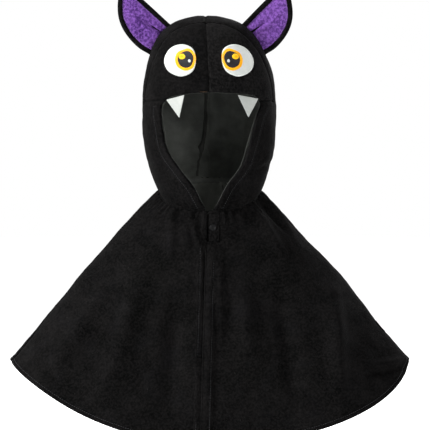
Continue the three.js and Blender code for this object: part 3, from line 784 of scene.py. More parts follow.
class Effect(Enum):
    """The shared patterns, each a node group built once."""

    PILE = "pile"
    WEAVE = "weave"
    FIBRE = "fibre"
    SATIN = "satin"
    WEAR = "wear"

    def group(self) -> bpy.types.NodeTree:
        """The effect's node group, built the first time it is asked for.

        Returns:
            The group.
        """
        found = bpy.data.node_groups.get(self.value)
        if found:
            return found
        tree = bpy.data.node_groups.new(self.value, "ShaderNodeTree")
        tree.interface.new_socket("Vector", in_out="INPUT", socket_type="NodeSocketVector")
        tree.interface.new_socket("Density", in_out="INPUT", socket_type="NodeSocketFloat")
        names = ("Rub", "Lint") if self is Effect.WEAR else ("Height", "Shade")
        for name in names:
            tree.interface.new_socket(name, in_out="OUTPUT", socket_type="NodeSocketFloat")
        wiring = Wiring(tree)
        start, end = tree.nodes.new("NodeGroupInput"), tree.nodes.new("NodeGroupOutput")
        builders = {
            Effect.PILE: self._pile,
            Effect.WEAVE: self._weave,
            Effect.FIBRE: self._fibre,
            Effect.SATIN: self._satin,
            Effect.WEAR: self._wear,
        }
        results = builders[self](wiring, start.outputs["Vector"], start.outputs["Density"])
        for name, result in zip(names, results):
            tree.links.new(result, end.inputs[name])
        return tree

    @staticmethod
    def _noise(
        wiring: Wiring,
        vector: object,
        scale: object,
        detail: float = 2.0,
        rough: float = 0.6,
    ) -> bpy.types.NodeSocket:
        """A noise pattern's value."""
        inputs = {"Vector": vector, "Scale": scale, "Detail": detail, "Roughness": rough}
        return wiring.node("TexNoise", inputs).outputs[0]

    def _pile(self, wiring: Wiring, vector: object, density: object) -> tuple[object, object]:
        """Short pile: fine tufts, with patches that lie another way.

        Args:
            wiring: the tree that it adds nodes to.
            vector: the place that the pattern is read at.
            density: how fine the pattern is.
        Returns:
            Its height and its shade.
        """
        fine = self._noise(wiring, vector, density, 3.0, 0.7)
        tufts = self._noise(wiring, vector, wiring.maths("MULTIPLY", density, 0.31), 3.0, 0.65)
        patch = self._noise(wiring, vector, wiring.maths("MULTIPLY", density, 0.03), 3.0, 0.55)
        height = wiring.maths(
            "ADD", wiring.maths("MULTIPLY", fine, 0.55), wiring.maths("MULTIPLY", tufts, 0.45),
        )
        speckle = wiring.ranged(tufts, 0.43, 0.59, 0.0, 0.62)
        nap = wiring.ranged(patch, 0.38, 0.66, 0.0, 0.38)
        return height, wiring.maths("ADD", speckle, nap, held=True)

    def _weave(self, wiring: Wiring, vector: object, density: object) -> tuple[object, object]:
        """Threads that cross, slightly uneven.

        Args:
            wiring: the tree that it adds nodes to.
            vector: the place that the pattern is read at.
            density: how fine the pattern is.
        Returns:
            Its height and its shade.
        """
        inputs = {"Vector": vector, "Scale": density, "Distortion": 0.6, "Detail": 1.0}
        warp = wiring.node("TexWave", inputs, bands_direction="X").outputs[1]
        weft = wiring.node("TexWave", inputs, bands_direction="Z").outputs[1]
        height = wiring.maths("MULTIPLY", wiring.maths("ADD", warp, weft), 0.5)
        slub = self._noise(wiring, vector, wiring.maths("MULTIPLY", density, 0.08), 3.0)
        shade = wiring.maths(
            "ADD", wiring.maths("MULTIPLY", height, 0.4), wiring.ranged(slub, 0.35, 0.7, 0.0, 0.6),
            held=True,
        )
        return height, shade

    def _fibre(self, wiring: Wiring, vector: object, density: object) -> tuple[object, object]:
        """Felted fibres that lie every way.

        Args:
            wiring: the tree that it adds nodes to.
            vector: the place that the pattern is read at.
            density: how fine the pattern is.
        Returns:
            Its height and its shade.
        """
        flat = wiring.node("Mapping", {"Vector": vector, "Scale": (1.0, 1.0, 0.22)}).outputs[0]
        tall = wiring.node(
            "Mapping",
            {"Vector": vector, "Scale": (0.22, 1.0, 1.0), "Rotation": (0.0, 0.5, 0.0)},
        ).outputs[0]
        one, two = self._noise(wiring, flat, density), self._noise(wiring, tall, density)
        height = wiring.maths("MAXIMUM", one, two)
        cloud = self._noise(wiring, vector, wiring.maths("MULTIPLY", density, 0.06))
        shade = wiring.maths(
            "ADD", wiring.ranged(height, 0.4, 0.75, 0.0, 0.6), wiring.ranged(cloud, 0.4, 0.7, 0.0, 0.4),
            held=True,
        )
        return height, shade

    def _satin(self, wiring: Wiring, vector: object, density: object) -> tuple[object, object]:
        """Threads laid side by side, as in dense satin stitch.

        Args:
            wiring: the tree that it adds nodes to.
            vector: the place that the pattern is read at.
            density: how fine the pattern is.
        Returns:
            Its height and its shade.
        """
        turned = wiring.node("Mapping", {"Vector": vector, "Rotation": (0.0, 0.35, 0.0)}).outputs[0]
        inputs = {"Vector": turned, "Scale": density, "Distortion": 1.2, "Detail": 2.0, "Detail Scale": 0.6}
        threads = wiring.node("TexWave", inputs, bands_direction="X").outputs[1]
        cloud = self._noise(wiring, vector, wiring.maths("MULTIPLY", density, 0.15))
        return threads, wiring.maths(
            "ADD", wiring.maths("MULTIPLY", threads, 0.55), wiring.ranged(cloud, 0.35, 0.7, 0.0, 0.45),
            held=True,
        )

    def _wear(self, wiring: Wiring, vector: object, density: object) -> tuple[object, object]:
        """Brushed patches where a costume is handled, and a few specks of lint.

        Args:
            wiring: the tree that it adds nodes to.
            vector: the place that the pattern is read at.
            density: how fine the pattern is.
        Returns:
            Where it is rubbed, and where lint lies.
        """
        rub = wiring.ranged(self._noise(wiring, vector, density, 4.0, 0.6), 0.5, 0.72, 0.0, 1.0)
        cells = wiring.node(
            "TexVoronoi",
            {"Vector": vector, "Scale": wiring.maths("MULTIPLY", density, 14.0)},
        )
        speck = wiring.maths("LESS_THAN", cells.outputs["Distance"], 0.045)
        rare = wiring.maths(
            "GREATER_THAN",
            self._noise(wiring, vector, wiring.maths("MULTIPLY", density, 5.0)),
            0.6,
        )
        return rub, wiring.maths("MULTIPLY", speck, rare)


@dataclass(frozen=True)
class ClothFinish:
    """A cloth's finish: two colours that its pattern runs between, its bump, its sheen and its wear."""

    name: str
    dark: int
    light: int
    effect: Effect
    density: float
    rough: float = 0.9
    bump: float = 0.6
    depth: float = 0.0006
    sheen: float = 0.2
    sheen_rough: float = 0.4
    sheen_tint: int = 0xFFFFFF
    worn: int = 0x303032
    rubbed: float = 0.15
    specular: float = 0.2
    lint: float = 0.4

    def material(self) -> bpy.types.Material:
        """The finish as a material, made once.

        Returns:
            The material.
        """
        found = bpy.data.materials.get(self.name)
        if found:
            return found
        made = blank_material(self.name)
        wiring = Wiring(made.node_tree)
        place = wiring.node("TexCoord").outputs["Object"]
        pattern = wiring.node("Group", node_tree=self.effect.group())
        wear = wiring.node("Group", node_tree=Effect.WEAR.group())
        for group, density in ((pattern, self.density), (wear, 22.0)):
            made.node_tree.links.new(place, group.inputs["Vector"])
            group.inputs["Density"].default_value = density
        colour = wiring.blended(pattern.outputs["Shade"], linear(self.dark), linear(self.light))
        rub = wiring.maths("MULTIPLY", wear.outputs["Rub"], self.rubbed)
        colour = wiring.blended(rub, colour, linear(self.worn))
        lint = wiring.maths("MULTIPLY", wear.outputs["Lint"], self.lint)
        colour = wiring.blended(lint, colour, linear(0xB8B6B0))
        rough = wiring.ranged(
            pattern.outputs["Shade"], 0.0, 1.0, self.rough - 0.06, min(1.0, self.rough + 0.06),
        )
        relief = {"Height": pattern.outputs["Height"], "Strength": self.bump, "Distance": self.depth}
        normal = wiring.node("Bump", relief).outputs["Normal"]
        skin = {"Base Color": colour, "Roughness": rough, "Normal": normal}
        skin |= {
            "Sheen Weight": self.sheen, "Sheen Roughness": self.sheen_rough,
            "Sheen Tint": linear(self.sheen_tint),
        }
        shader = wiring.node("BsdfPrincipled", skin | {"Specular IOR Level": self.specular})
        wiring.node("OutputMaterial", {"Surface": shader.outputs[0]})
        return made


@dataclass(frozen=True)
class EnamelFinish:
    """Black enamel on a pressed metal snap, scuffed on its high spots."""

    name: str = "snap_enamel_black"
    colour: int = 0x040405
    metal: int = 0x2C2C2E

    def material(self) -> bpy.types.Material:
        """The finish as a material, made once.

        Returns:
            The material.
        """
        found = bpy.data.materials.get(self.name)
        if found:
            return found
        made = blank_material(self.name)
        wiring = Wiring(made.node_tree)
        place = wiring.node("TexCoord").outputs["Object"]
        wear = wiring.node("Group", {"Vector": place, "Density": 260.0}, node_tree=Effect.WEAR.group())
        scuff = wiring.maths("MULTIPLY", wear.outputs["Rub"], 0.2)
        colour = wiring.blended(scuff, linear(self.colour), linear(self.metal))
        rough = wiring.ranged(wear.outputs["Rub"], 0.0, 1.0, 0.5, 0.62)
        normal = wiring.node(
            "Bump",
            {"Height": wear.outputs["Rub"], "Strength": 0.25, "Distance": 0.0001},
        ).outputs["Normal"]
        skin = {
            "Base Color": colour, "Roughness": rough, "Metallic": scuff, "Normal": normal,
            "Coat Weight": 0.04,
        }
        skin["Specular IOR Level"] = 0.15
        shader = wiring.node("BsdfPrincipled", skin)
        wiring.node("OutputMaterial", {"Surface": shader.outputs[0]})
        return made


VELOUR = ClothFinish(
    "black_velour", 0x010101, 0x131212, Effect.PILE, 850,
    depth=0.0016, bump=0.9, sheen=0.012, sheen_rough=0.3, specular=0.04, worn=0x19191B, lint=0.3,
)
# A lighter copy of the velour: painted light, standing in for the light that the wearer's left forehead
# panel's nap catches.
VELOUR_PAINTED_LIGHT = replace(VELOUR, name="black_velour_painted_light", dark=0x030303, light=0x1B1A1A)
LINING = ClothFinish(
    "lining_knit", 0x2C2E2B, 0x4C4E4A, Effect.WEAVE, 420, rough=0.62, depth=0.0002, sheen=0.08, worn=0x50524C
)
# A lighter copy of the lining: painted light for the yoke, making up for the little light that reaches inside
# the neck.
LINING_PAINTED_LIGHT = replace(LINING, name="lining_knit_painted_light", dark=0x3C3E3A, light=0x62645E)
# A darker copy of the lining: painted shade along the lining's back seam.
LINING_PAINTED_SHADE = replace(LINING, name="lining_seam_painted_shade", dark=0x181917, light=0x2C2D2A)
TAPE = ClothFinish("twill_tape", 0x141416, 0x2C2C2E, Effect.WEAVE, 300, rough=0.8, depth=0.0004, sheen=0.05)
PLUSH = ClothFinish(
    "mottled_plush", 0x341B52, 0x8055AA, Effect.PILE, 620,
    depth=0.0012, sheen=0.03, sheen_tint=0xB08CD0, specular=0.06, worn=0x54306E, rubbed=0.35, lint=0.2,
)
FELT = ClothFinish(
    "fibrous_felt", 0xBCC0BC, 0xCCCECB, Effect.FIBRE, 1400, depth=0.0004, sheen=0.1, worn=0xE4E2DA,
    rubbed=0.12, lint=0.0
)
# A darker copy of the white felt: painted shade, so the fangs come out no brighter than the eye whites under
# the lamps.
FANG_FELT_PAINTED_SHADE = replace(FELT, name="fang_felt", dark=0x9CA09C, light=0xACAEAB)
ORANGE = ClothFinish(
    "orange_satin_stitch", 0xF09A00, 0xFFBC14, Effect.SATIN, 520,
    rough=0.5, depth=0.0003, sheen=0.1, worn=0xFFC24A, rubbed=0.1, lint=0.0,
)
AMBER = ClothFinish(
    "amber_satin_stitch", 0xF2B408, 0xFFD21E, Effect.SATIN, 560,
    rough=0.5, depth=0.0003, sheen=0.1, worn=0xFFE070, rubbed=0.1, lint=0.0,
)
DARK = ClothFinish(
    "dark_satin_stitch", 0x101014, 0x2C2C30, Effect.SATIN, 520, rough=0.5, depth=0.0003, sheen=0.05,
)
BLACK_THREAD = ClothFinish(
    "black_thread", 0x18181A, 0x38383B, Effect.SATIN, 1800, rough=0.55, depth=0.0001, sheen=0.05,
)
BROWN_THREAD = ClothFinish(
    "brown_thread", 0x4A3320, 0x6E5236, Effect.SATIN, 1800, rough=0.55, depth=0.0001, sheen=0.05,
)
PALE_THREAD = ClothFinish(
    "pale_thread", 0xD8DAD6, 0xF4F6F2, Effect.SATIN, 1800, rough=0.55, depth=0.0001, lint=0.0,
)
MAUVE_THREAD = ClothFinish(
    "mauve_thread", 0x7A569A, 0xA884C4, Effect.SATIN, 1800, rough=0.55, depth=0.0001, lint=0.0,
)
ENAMEL = EnamelFinish()


# ---------------------------------------------------------------- the hood


@dataclass
class FaceOpening:
    """The face opening, drawn from the front, with the seams that meet it."""

    hood: HoodForm
    outline: tuple[Point, ...] = (
        (0.001, -0.042), (0.036, 0.010), (0.064, 0.047), (0.079, 0.093), (0.090, 0.137),
        (0.0985, 0.162), (0.0905, 0.175), (0.036, 0.181), (-0.036, 0.180), (-0.080, 0.171),
        (-0.091, 0.155), (-0.088, 0.112), (-0.080, 0.074), (-0.058, 0.041), (-0.030, 0.005),
    )
    brow_z: float = 0.168
    seam_y: float = -0.027
    seam_slant: float = 0.19
    seam_step: float = 0.0045

    def __post_init__(self) -> None:
        """Splits the outline into its two sides and its top, and finds the hood's rows."""
        line = smooth_line(self.outline, True, 0.002)
        top = int(np.argmax(line[:, 1]))
        left, right = line[: top + 1], np.concatenate([line[top:], line[:1]])[::-1]
        self.sides = {Side.LEFT: left, Side.RIGHT: right}
        over = line[line[:, 1] >= self.brow_z]
        self.top = over[np.argsort(over[:, 0])]
        heights = np.linspace(self.brow_z, 0.33, 800)
        gap = self.hood.section(self.hood.up_at(heights))[:, 2] + self.seam_at(heights)
        self.seam_top = float(heights[np.argmax(gap < 0)])
        ups = np.linspace(0, 1, 4001)
        section = self.hood.section(ups)
        run = np.concatenate([[0], np.cumsum(np.hypot(*np.diff(section[:, :2], axis=0).T))])
        at_brow = float(np.interp(self.hood.up_at(self.brow_z), ups, run))
        at_top = float(np.interp(self.hood.up_at(self.seam_top), ups, run))
        spots = graded(run[-1], self.seam_step, EDGE_STEPS) * run[-1]
        near = [at_brow + d for d in (-0.0035, -0.002, -0.0008, 0.0, 0.0008, 0.002, 0.0035)]
        clear = [s for s in spots if min(abs(s - at_brow), abs(s - at_top) + 0.002) > 0.0045]
        rows = np.unique(np.round(clear + near + [at_top, run[-1]], 7))
        self.ups = np.interp(rows, run, ups)
        self.brow_row = int(np.argmin(np.abs(rows - at_brow)))
        self.top_row = int(np.argmin(np.abs(rows - at_top)))

    def seam_at(self, z: Array) -> Array:
        """The y of the seam between the forehead and the side panels at a height."""
        return self.seam_y - self.seam_slant * (z - self.brow_z)

    def seam_angle(self, z: Array) -> Array:
        """The angle of that seam at a height, held at its brow value below the brow."""
        held = np.maximum(z, self.brow_z)
        front = np.maximum(self.hood.section(self.hood.up_at(held))[..., 2], 1e-6)
        share = np.clip(-self.seam_at(held) / front, 0, 1)
        return np.arccos(share ** (1 / self.hood.neck.roundness))

    def edge_angle(self, side: Side, ups: Array) -> Array:
        """The angle of the opening's edge at places up the hood, below the brow.

        Args:
            side: the wearer's left or right.
            ups: places up the hood.
        Returns:
            One angle a place.
        """
        line = self.sides[side]
        rise = np.maximum.accumulate(line[:, 1])
        low, high = np.zeros_like(ups), np.full_like(ups, self.seam_angle(np.array(0.0)))
        for _ in range(40):
            middle = (low + high) / 2
            spot = self.hood.place(middle, ups)
            inside = spot[..., 0] < side.value * np.interp(spot[..., 2], rise, line[:, 0])
            low, high = np.where(inside, middle, low), np.where(inside, high, middle)
        return low

    def rim_height(self, side: Side, shares: Array) -> Array:
        """The height of the forehead's lower edge at shares of the way to its seam.

        Args:
            side: the wearer's left or right.
            shares: places along the rim.
        Returns:
            One height a place.
        """
        z = np.full_like(shares, self.brow_z + 0.004)
        for _ in range(40):
            x = self.hood.place(shares * self.seam_angle(z), self.hood.up_at(z))[..., 0]
            z = (z + np.interp(side.value * x, self.top[:, 0], self.top[:, 1], self.brow_z, self.brow_z)) / 2
        return z

    def forehead(self, side: Side) -> tuple[Array, Array]:
        """Angles and places up of the forehead panel's grid.

        Args:
            side: the wearer's left or right.
        Returns:
            Angles and places up, as grids.
        """
        shares = graded(0.13, 0.0045, EDGE_STEPS, EDGE_STEPS)
        rows = self.hood.section(self.ups[self.brow_row : self.top_row + 1])[:, 0]
        rise = (rows - self.brow_z) / (self.seam_top - self.brow_z)
        rise[0], rise[-1] = 0, 1
        rim = self.rim_height(side, shares)
        z = rim + (self.seam_top - rim) * rise[:, None]
        return side.value * shares * self.seam_angle(z), self.hood.up_at(z)

    def back(self, side: Side) -> tuple[Array, Array]:
        """Angles and places up of the side panel behind the forehead seam."""
        shares = graded(0.2, 0.0048, EDGE_STEPS, EDGE_STEPS)
        seam = self.seam_angle(self.hood.section(self.ups)[:, 0])
        seam[self.top_row :] = 0
        angle = seam[:, None] + (math.pi - seam[:, None]) * shares
        return side.value * angle, np.broadcast_to(self.ups[:, None], angle.shape)

    def cheek(self, side: Side) -> tuple[Array, Array]:
        """Angles and places up of the side panel between the opening and the forehead seam's line."""
        ups = self.ups[: self.brow_row + 1]
        edge = self.edge_angle(side, ups)[:, None]
        shares = graded(0.09, 0.0045, (0.0008, 0.0018, 0.0035))
        angle = edge + (self.seam_angle(np.array(0.0)) - edge) * shares
        return side.value * angle, np.broadcast_to(ups[:, None], angle.shape)


@dataclass
class Hood:
    """The hood: forehead and side panels, lining and edge bands."""

    form: HoodForm
    opening: FaceOpening
    thickness: float = 0.003
    lining_gap: float = 0.0048
    lining_thickness: float = 0.0008
    band_width: float = 0.015
    band_top: float = 0.161
    fade: float = 0.12
    seam_line: tuple[Point, ...] = (
        (-0.0055, 0.205), (-0.007, 0.137), (-0.0125, 0.090), (-0.0215, 0.050), (-0.0235, 0.026),
    )
    creases: tuple[Crease, ...] = (
        Crease((0.113, 0.053), (0.083, 0.027), 0.006, -0.0048),
        Crease((0.118, 0.066), (0.092, 0.038), 0.006, 0.0032),
        Crease((-0.100, 0.030), (-0.070, 0.004), 0.007, -0.0032),
        Crease((-0.108, 0.075), (-0.096, 0.030), 0.009, 0.0032),
        Crease((-0.060, 0.060), (-0.040, 0.016), 0.010, 0.0040, Face.BACK),
        Crease((0.050, 0.080), (0.070, 0.012), 0.010, 0.0048, Face.BACK),
        Crease((0.010, 0.120), (0.018, 0.030), 0.012, -0.0032, Face.BACK),
        Crease((-0.085, 0.150), (-0.095, 0.060), 0.012, 0.0040, Face.BACK),
    )
    lining_creases: tuple[Crease, ...] = (
        Crease((-0.006, 0.186), (-0.007, 0.137), 0.0016, 0.0016, Face.BACK),
        Crease((-0.007, 0.140), (-0.012, 0.085), 0.0016, 0.0016, Face.BACK),
        Crease((-0.012, 0.088), (-0.022, 0.046), 0.0016, 0.0016, Face.BACK),
        Crease((-0.022, 0.050), (-0.023, 0.016), 0.0016, 0.0016, Face.BACK),
        Crease((-0.020, 0.100), (-0.004, 0.074), 0.005, 0.004, Face.BACK),
        Crease((0.030, 0.140), (0.012, 0.060), 0.014, 0.005, Face.BACK),
        Crease((-0.060, 0.130), (-0.036, 0.040), 0.016, 0.005, Face.BACK),
        Crease((0.070, 0.090), (0.030, 0.030), 0.012, 0.004, Face.BACK),
    )

    def __post_init__(self) -> None:
        """Lays the outer cloth's reliefs and the ground that appliques lie on."""
        form, opening = self.form, self.opening
        z = np.linspace(opening.brow_z, opening.seam_top, 90)
        ups = np.linspace(0, 1, 400)
        around = np.linspace(-math.pi, math.pi, 700)
        channels = [
            Channel(form.place(np.zeros(300), np.linspace(float(form.up_at(0.177)), 1, 300))),
            Channel(form.place(np.full(400, math.pi), ups)),
            Channel(form.place(around, np.zeros(700)), 0.002, 0.0035),
        ]
        for side in Side:
            channels.append(Channel(form.place(side.value * opening.seam_angle(z), form.up_at(z))))
            angle, up = opening.cheek(side)
            brow = np.linspace(angle[-1, 0], angle[-1, -1], 60)
            channels.append(Channel(form.place(brow, np.full(60, up[-1, 0])), 0.0014))
            channels.append(Channel(self.dense(form.place(angle[:, 0], up[:, 0])), 0.0012, 0.0014))
            angle, up = opening.forehead(side)
            channels.append(Channel(self.dense(form.place(angle[0], up[0])), 0.0012, 0.0014))
        soft = [Unevenness(0.0022, 0.045, 3.7), Unevenness(0.0006, 0.012, 9.1)]
        self.cloth = Cloth(form, [*channels, *self.creases, *soft])
        inner = [
            *self.lining_creases,
            Unevenness(0.010, 0.05, 21.0, (1.2, 1.0, 0.45)),
            Unevenness(0.0012, 0.014, 5.0),
        ]
        self.inner = Cloth(form, inner, -self.lining_gap, inward_only=True)
        angles = np.linspace(-math.pi, math.pi, 161)
        grid, _ = self.cloth.lay(angles[None, :], opening.ups[:, None])
        self.ground = Ground.of(form.leant(grid))

    @staticmethod
    def dense(line: Array) -> Array:
        """A line with points at least every millimetre."""
        run = np.concatenate([[0], np.cumsum(np.linalg.norm(np.diff(line, axis=0), axis=1))])
        at = np.linspace(0, run[-1], max(2, int(run[-1] / 0.001)))
        return np.stack([np.interp(at, run, line[:, k]) for k in range(3)], axis=1)

    def fold_with(self, piece: bpy.types.Object) -> bpy.types.Object:
        """Bakes a piece's transform into its mesh."""
        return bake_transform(piece)

    def panel(
        self,
        name: str,
        cloth: Cloth,
        side: Side,
        grids: list,
        finish: ClothFinish,
    ) -> bpy.types.Object:
        """One panel of cloth, made of grids of angles and places up."""
        laid = [self.form.leant(cloth.lay(angle, up)[0]) for angle, up in grids]
        return grids_piece(name, laid, side is Side.RIGHT, finish.material())

    def build(self) -> list[bpy.types.Object]:
        """Builds the panels, linings and bands of both sides.

        Returns:
            The pieces.
        """
        made = []
        for side in Side:
            word, opening = side.word, self.opening
            forehead, back, cheek = opening.forehead(side), opening.back(side), opening.cheek(side)
            # The wearer's left forehead panel takes the velour's lighter copy, painted light for its nap.
            front = self.panel(
                "hood_forehead_panel_" + word, self.cloth, side, [forehead],
                VELOUR_PAINTED_LIGHT if side is Side.LEFT else VELOUR,
            )
            rest = self.panel("hood_side_panel_" + word, self.cloth, side, [back, cheek], VELOUR)
            inner = self.panel("hood_lining_cloth_" + word, self.inner, side, [forehead, back, cheek], LINING)
            dress(front, SlotName.VELOUR, "hood_forehead_" + word)
            dress(rest, SlotName.VELOUR, "hood_side_" + word)
            dress(inner, SlotName.LINING, "hood_lining_" + word)
            for piece, thick in (
                (front, self.thickness), (rest, self.thickness), (inner, self.lining_thickness),
            ):
                self.fold_with(thicken(piece, thick))
            made += [front, rest, inner, *self.band(side)]
        made += [self.rim_tack(), self.lining_seam()]
        return made

    def band(self, side: Side) -> list[bpy.types.Object]:
        """The folded band along one side of the opening, with its topstitching.

        Args:
            side: the wearer's left or right.
        Returns:
            The band and its stitches.
        """
        line = self.opening.sides[side]
        keep = (line[:, 1] < self.band_top) & (line[:, 1] > -0.036)
        line = line[keep][::2]
        run = flat_unit(np.gradient(line, axis=0))
        away = side.value * np.stack([run[:, 1], -run[:, 0]], axis=1)
        shares = (0.0, 0.0008, 0.0025, 0.006, 0.0105, 0.0118, 0.0128, 0.0140, 0.0150)
        lifts = (0.0012, 0.0019, 0.0023, 0.0022, 0.0019, 0.0010, 0.0017, 0.0014, 0.0003)
        edge, out = self.ground.on(line + away * 0.0006)
        sideways = np.stack([away[:, 0], np.zeros(len(away)), away[:, 1]], axis=1)
        columns = [edge - out * 0.0062 + sideways * 0.004, edge - out * 0.0056 - sideways * 0.0006]
        columns.append(edge - out * 0.002 - sideways * 0.0012)
        for share, lift in zip(shares, lifts):
            spot, up = self.ground.on(line + away * max(share, 0.0004))
            columns.append(spot + up * lift)
        grid = np.stack(columns, axis=1)
        piece = grids_piece(
            "hood_edge_band_cloth_" + side.word, [grid], side is Side.RIGHT, VELOUR.material(),
        )
        dress(piece, SlotName.VELOUR, "hood_edge_band_" + side.word)
        soften(self.fold_with(piece))
        spot, up = self.ground.on(line + away * 0.0118)
        points, faces = Thread().mesh(spot + up * 0.0011, up)
        stitches = new_piece("hood_edge_stitches_" + side.word, points, faces, BLACK_THREAD.material())
        dress(stitches, SlotName.VELOUR)
        return [piece, self.fold_with(stitches)]

    def lining_seam(self) -> bpy.types.Object:
        """The lining's wandering back seam, a narrow ridge with a pucker half way down.

        Returns:
            The pieces.
        """
        angles = np.linspace(0.55 * math.pi, 1.45 * math.pi, 121)
        wall, _ = self.inner.lay(angles[None, :], self.opening.ups[:, None])
        back = Ground.of(self.form.leant(wall))
        line = smooth_line(self.seam_line, False, 0.002)
        spot, out = back.on(line)
        pucker = np.exp(-(((line[:, 1] - 0.082) / 0.006) ** 2))
        across = unit(
            np.stack([np.gradient(line[:, 1]), np.zeros(len(line)), -np.gradient(line[:, 0])], axis=1)
        )
        shape = ((-3.0, -0.3), (-1.6, 0.25), (-0.7, 1.2), (0.0, 0.35), (0.7, 1.4), (1.6, 0.3), (3.2, -0.3))
        wide = 0.0012 * (1 + 1.2 * pucker)
        columns = [
            spot + across * (wide * x)[:, None] + out * (0.0010 + 0.0016 * y * (1 + 1.5 * pucker))[:, None]
            for x, y in shape
        ]
        # The seam's ridge takes the lining's darker copy, painted shade along the seam.
        piece = grids_piece("hood_lining_seam", [np.stack(columns, axis=1)], True, LINING_PAINTED_SHADE.material())
        return self.fold_with(soften(dress(piece, SlotName.LINING)))

    def rim_tack(self) -> bpy.types.Object:
        """The brown thread that tacks the middle of the brow's rim, and the rim's own stitching."""
        x = np.linspace(-0.017, -0.002, 12)
        z = np.interp(x, self.opening.top[:, 0], self.opening.top[:, 1]) + 0.0016
        spot, up = self.ground.on(np.stack([x, z], axis=1))
        points, faces = Thread(0.0024, 0.0012, 0.0004).mesh(spot + up * 0.0002, up)
        tack = new_piece("hood_rim_tack", points, faces, BROWN_THREAD.material())
        return self.fold_with(dress(tack, SlotName.VELOUR))


@dataclass
class Eyes:
    """The stacked appliques of both eyes. Outlines are the wearer's left, drawn from the front."""

    hood: Hood
    nearer: float = 0.0035
    white: tuple[Point, ...] = (
        (0.050, 0.2733), (0.031, 0.265), (0.0258, 0.245), (0.033, 0.222),
        (0.056, 0.2123), (0.080, 0.224), (0.0858, 0.244), (0.073, 0.266),
    )
    iris: tuple[Point, ...] = (
        (0.038, 0.265), (0.0275, 0.256), (0.0259, 0.243), (0.032, 0.228), (0.046, 0.2224),
        (0.060, 0.229), (0.0652, 0.243), (0.060, 0.257), (0.050, 0.2625),
    )
    pupil: tuple[Point, ...] = (
        (0.0395, 0.260), (0.0315, 0.253), (0.0303, 0.243), (0.036, 0.2315),
        (0.046, 0.228), (0.056, 0.233), (0.0599, 0.244), (0.056, 0.254),
    )

    @staticmethod
    def oval(x: float, z: float, wide: float, high: float) -> tuple[Point, ...]:
        """An oval's points."""
        turns = np.arange(12) * (math.pi / 6)
        return tuple((x + wide * math.cos(t), z + high * math.sin(t)) for t in turns)

    def placed(self, outline: Sequence[Point], side: Side, step: float) -> Array:
        """An outline on its own side of the face, the right eye sewn a little nearer the middle."""
        line = smooth_line(outline, True, step)
        return line if side is Side.LEFT else line * np.array([-1.0, 1.0]) + np.array([self.nearer, 0.0])

    def layer(
        self,
        name: str,
        outline: Sequence[Point],
        side: Side,
        base: float,
        thick: float,
        finish: ClothFinish,
    ) -> bpy.types.Object:
        """One layer, rounded off at its edge, lying on the hood at a height.

        Args:
            name: the piece's name.
            outline: its outline in the front view.
            side: the wearer's left or right.
            base: how far its back stands off the ground.
            thick: its thickness.
            finish: its finish.
        Returns:
            The layer.
        """
        line = self.placed(outline, side, 0.0012)
        centre = line.mean(axis=0)
        rings = (1.0, 0.99, 0.97, 0.94, 0.88, 0.75, 0.55, 0.3, 0.1)

        def lay(flat: Array, size: float) -> Array:
            """Points of one ring."""
            moved = self.hood.form.leant(np.stack([flat[:, 0], np.zeros(len(flat)), flat[:, 1]], axis=1))
            spot, out = self.hood.ground.on(moved[:, [0, 2]])
            rise = thick * (1 - max(0.0, (size - 0.9) / 0.1) ** 2) if size > 0.9 else thick
            return spot + out * (base + rise)

        points, faces = capped(line, centre, rings, lay)
        skirt = lay(line, 1.0) + np.array([0.0, base + 0.0008, 0.0])
        count = len(line)
        first = len(points)
        faces += [(i, first + i, first + (i + 1) % count, (i + 1) % count) for i in range(count)]
        piece = new_piece(name, np.concatenate([points, skirt]), faces, finish.material())
        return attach(piece, Body.HOOD.value)

    def build(self) -> list[bpy.types.Object]:
        """Builds both eyes, layer on layer.

        Returns:
            The pieces.
        """
        made = []
        for side in Side:
            word = side.word
            layers = (
                ("eye_white", self.white, 0.0001, 0.0014, FELT, SlotName.FELT),
                ("iris", self.iris, 0.0013, 0.0006, ORANGE, SlotName.ORANGE),
                ("pupil", self.pupil, 0.0018, 0.0006, DARK, SlotName.DARK),
                (
                    "amber_glint", self.oval(0.0514, 0.2494, 0.0061, 0.0054), 0.0023, 0.0006, AMBER,
                    SlotName.ORANGE,
                ),
                ("white_glint", self.oval(0.038, 0.241, 0.0026, 0.003), 0.0023, 0.0006, FELT, SlotName.FELT),
            )
            for name, outline, base, thick, finish, slot in layers:
                piece = self.layer(f"{name}_cloth_{word}", outline, side, base, thick, finish)
                made.append(dress(piece, slot, f"{name}_{word}"))
            core = self.layer(
                "amber_core_cloth_" + word, self.oval(0.0518, 0.2498, 0.0026, 0.0022), side, 0.0028,
                0.0004, ORANGE,
            )
            made.append(dress(core, SlotName.ORANGE))
            line = self.placed(self.white, side, 0.0015)
            line = line.mean(axis=0) + (line - line.mean(axis=0)) * 0.945
            flat = self.hood.form.leant(np.stack([line[:, 0], line[:, 0] * 0, line[:, 1]], axis=1))[:, [0, 2]]
            spot, out = self.hood.ground.on(flat)
            points, faces = Thread(0.0022, 0.0011, 0.00032).mesh(spot + out * 0.0015, out, True)
            sewn = new_piece("eye_stitches_" + word, points, faces, PALE_THREAD.material())
            made.append(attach(dress(sewn, SlotName.FELT), Body.HOOD.value))
        return made


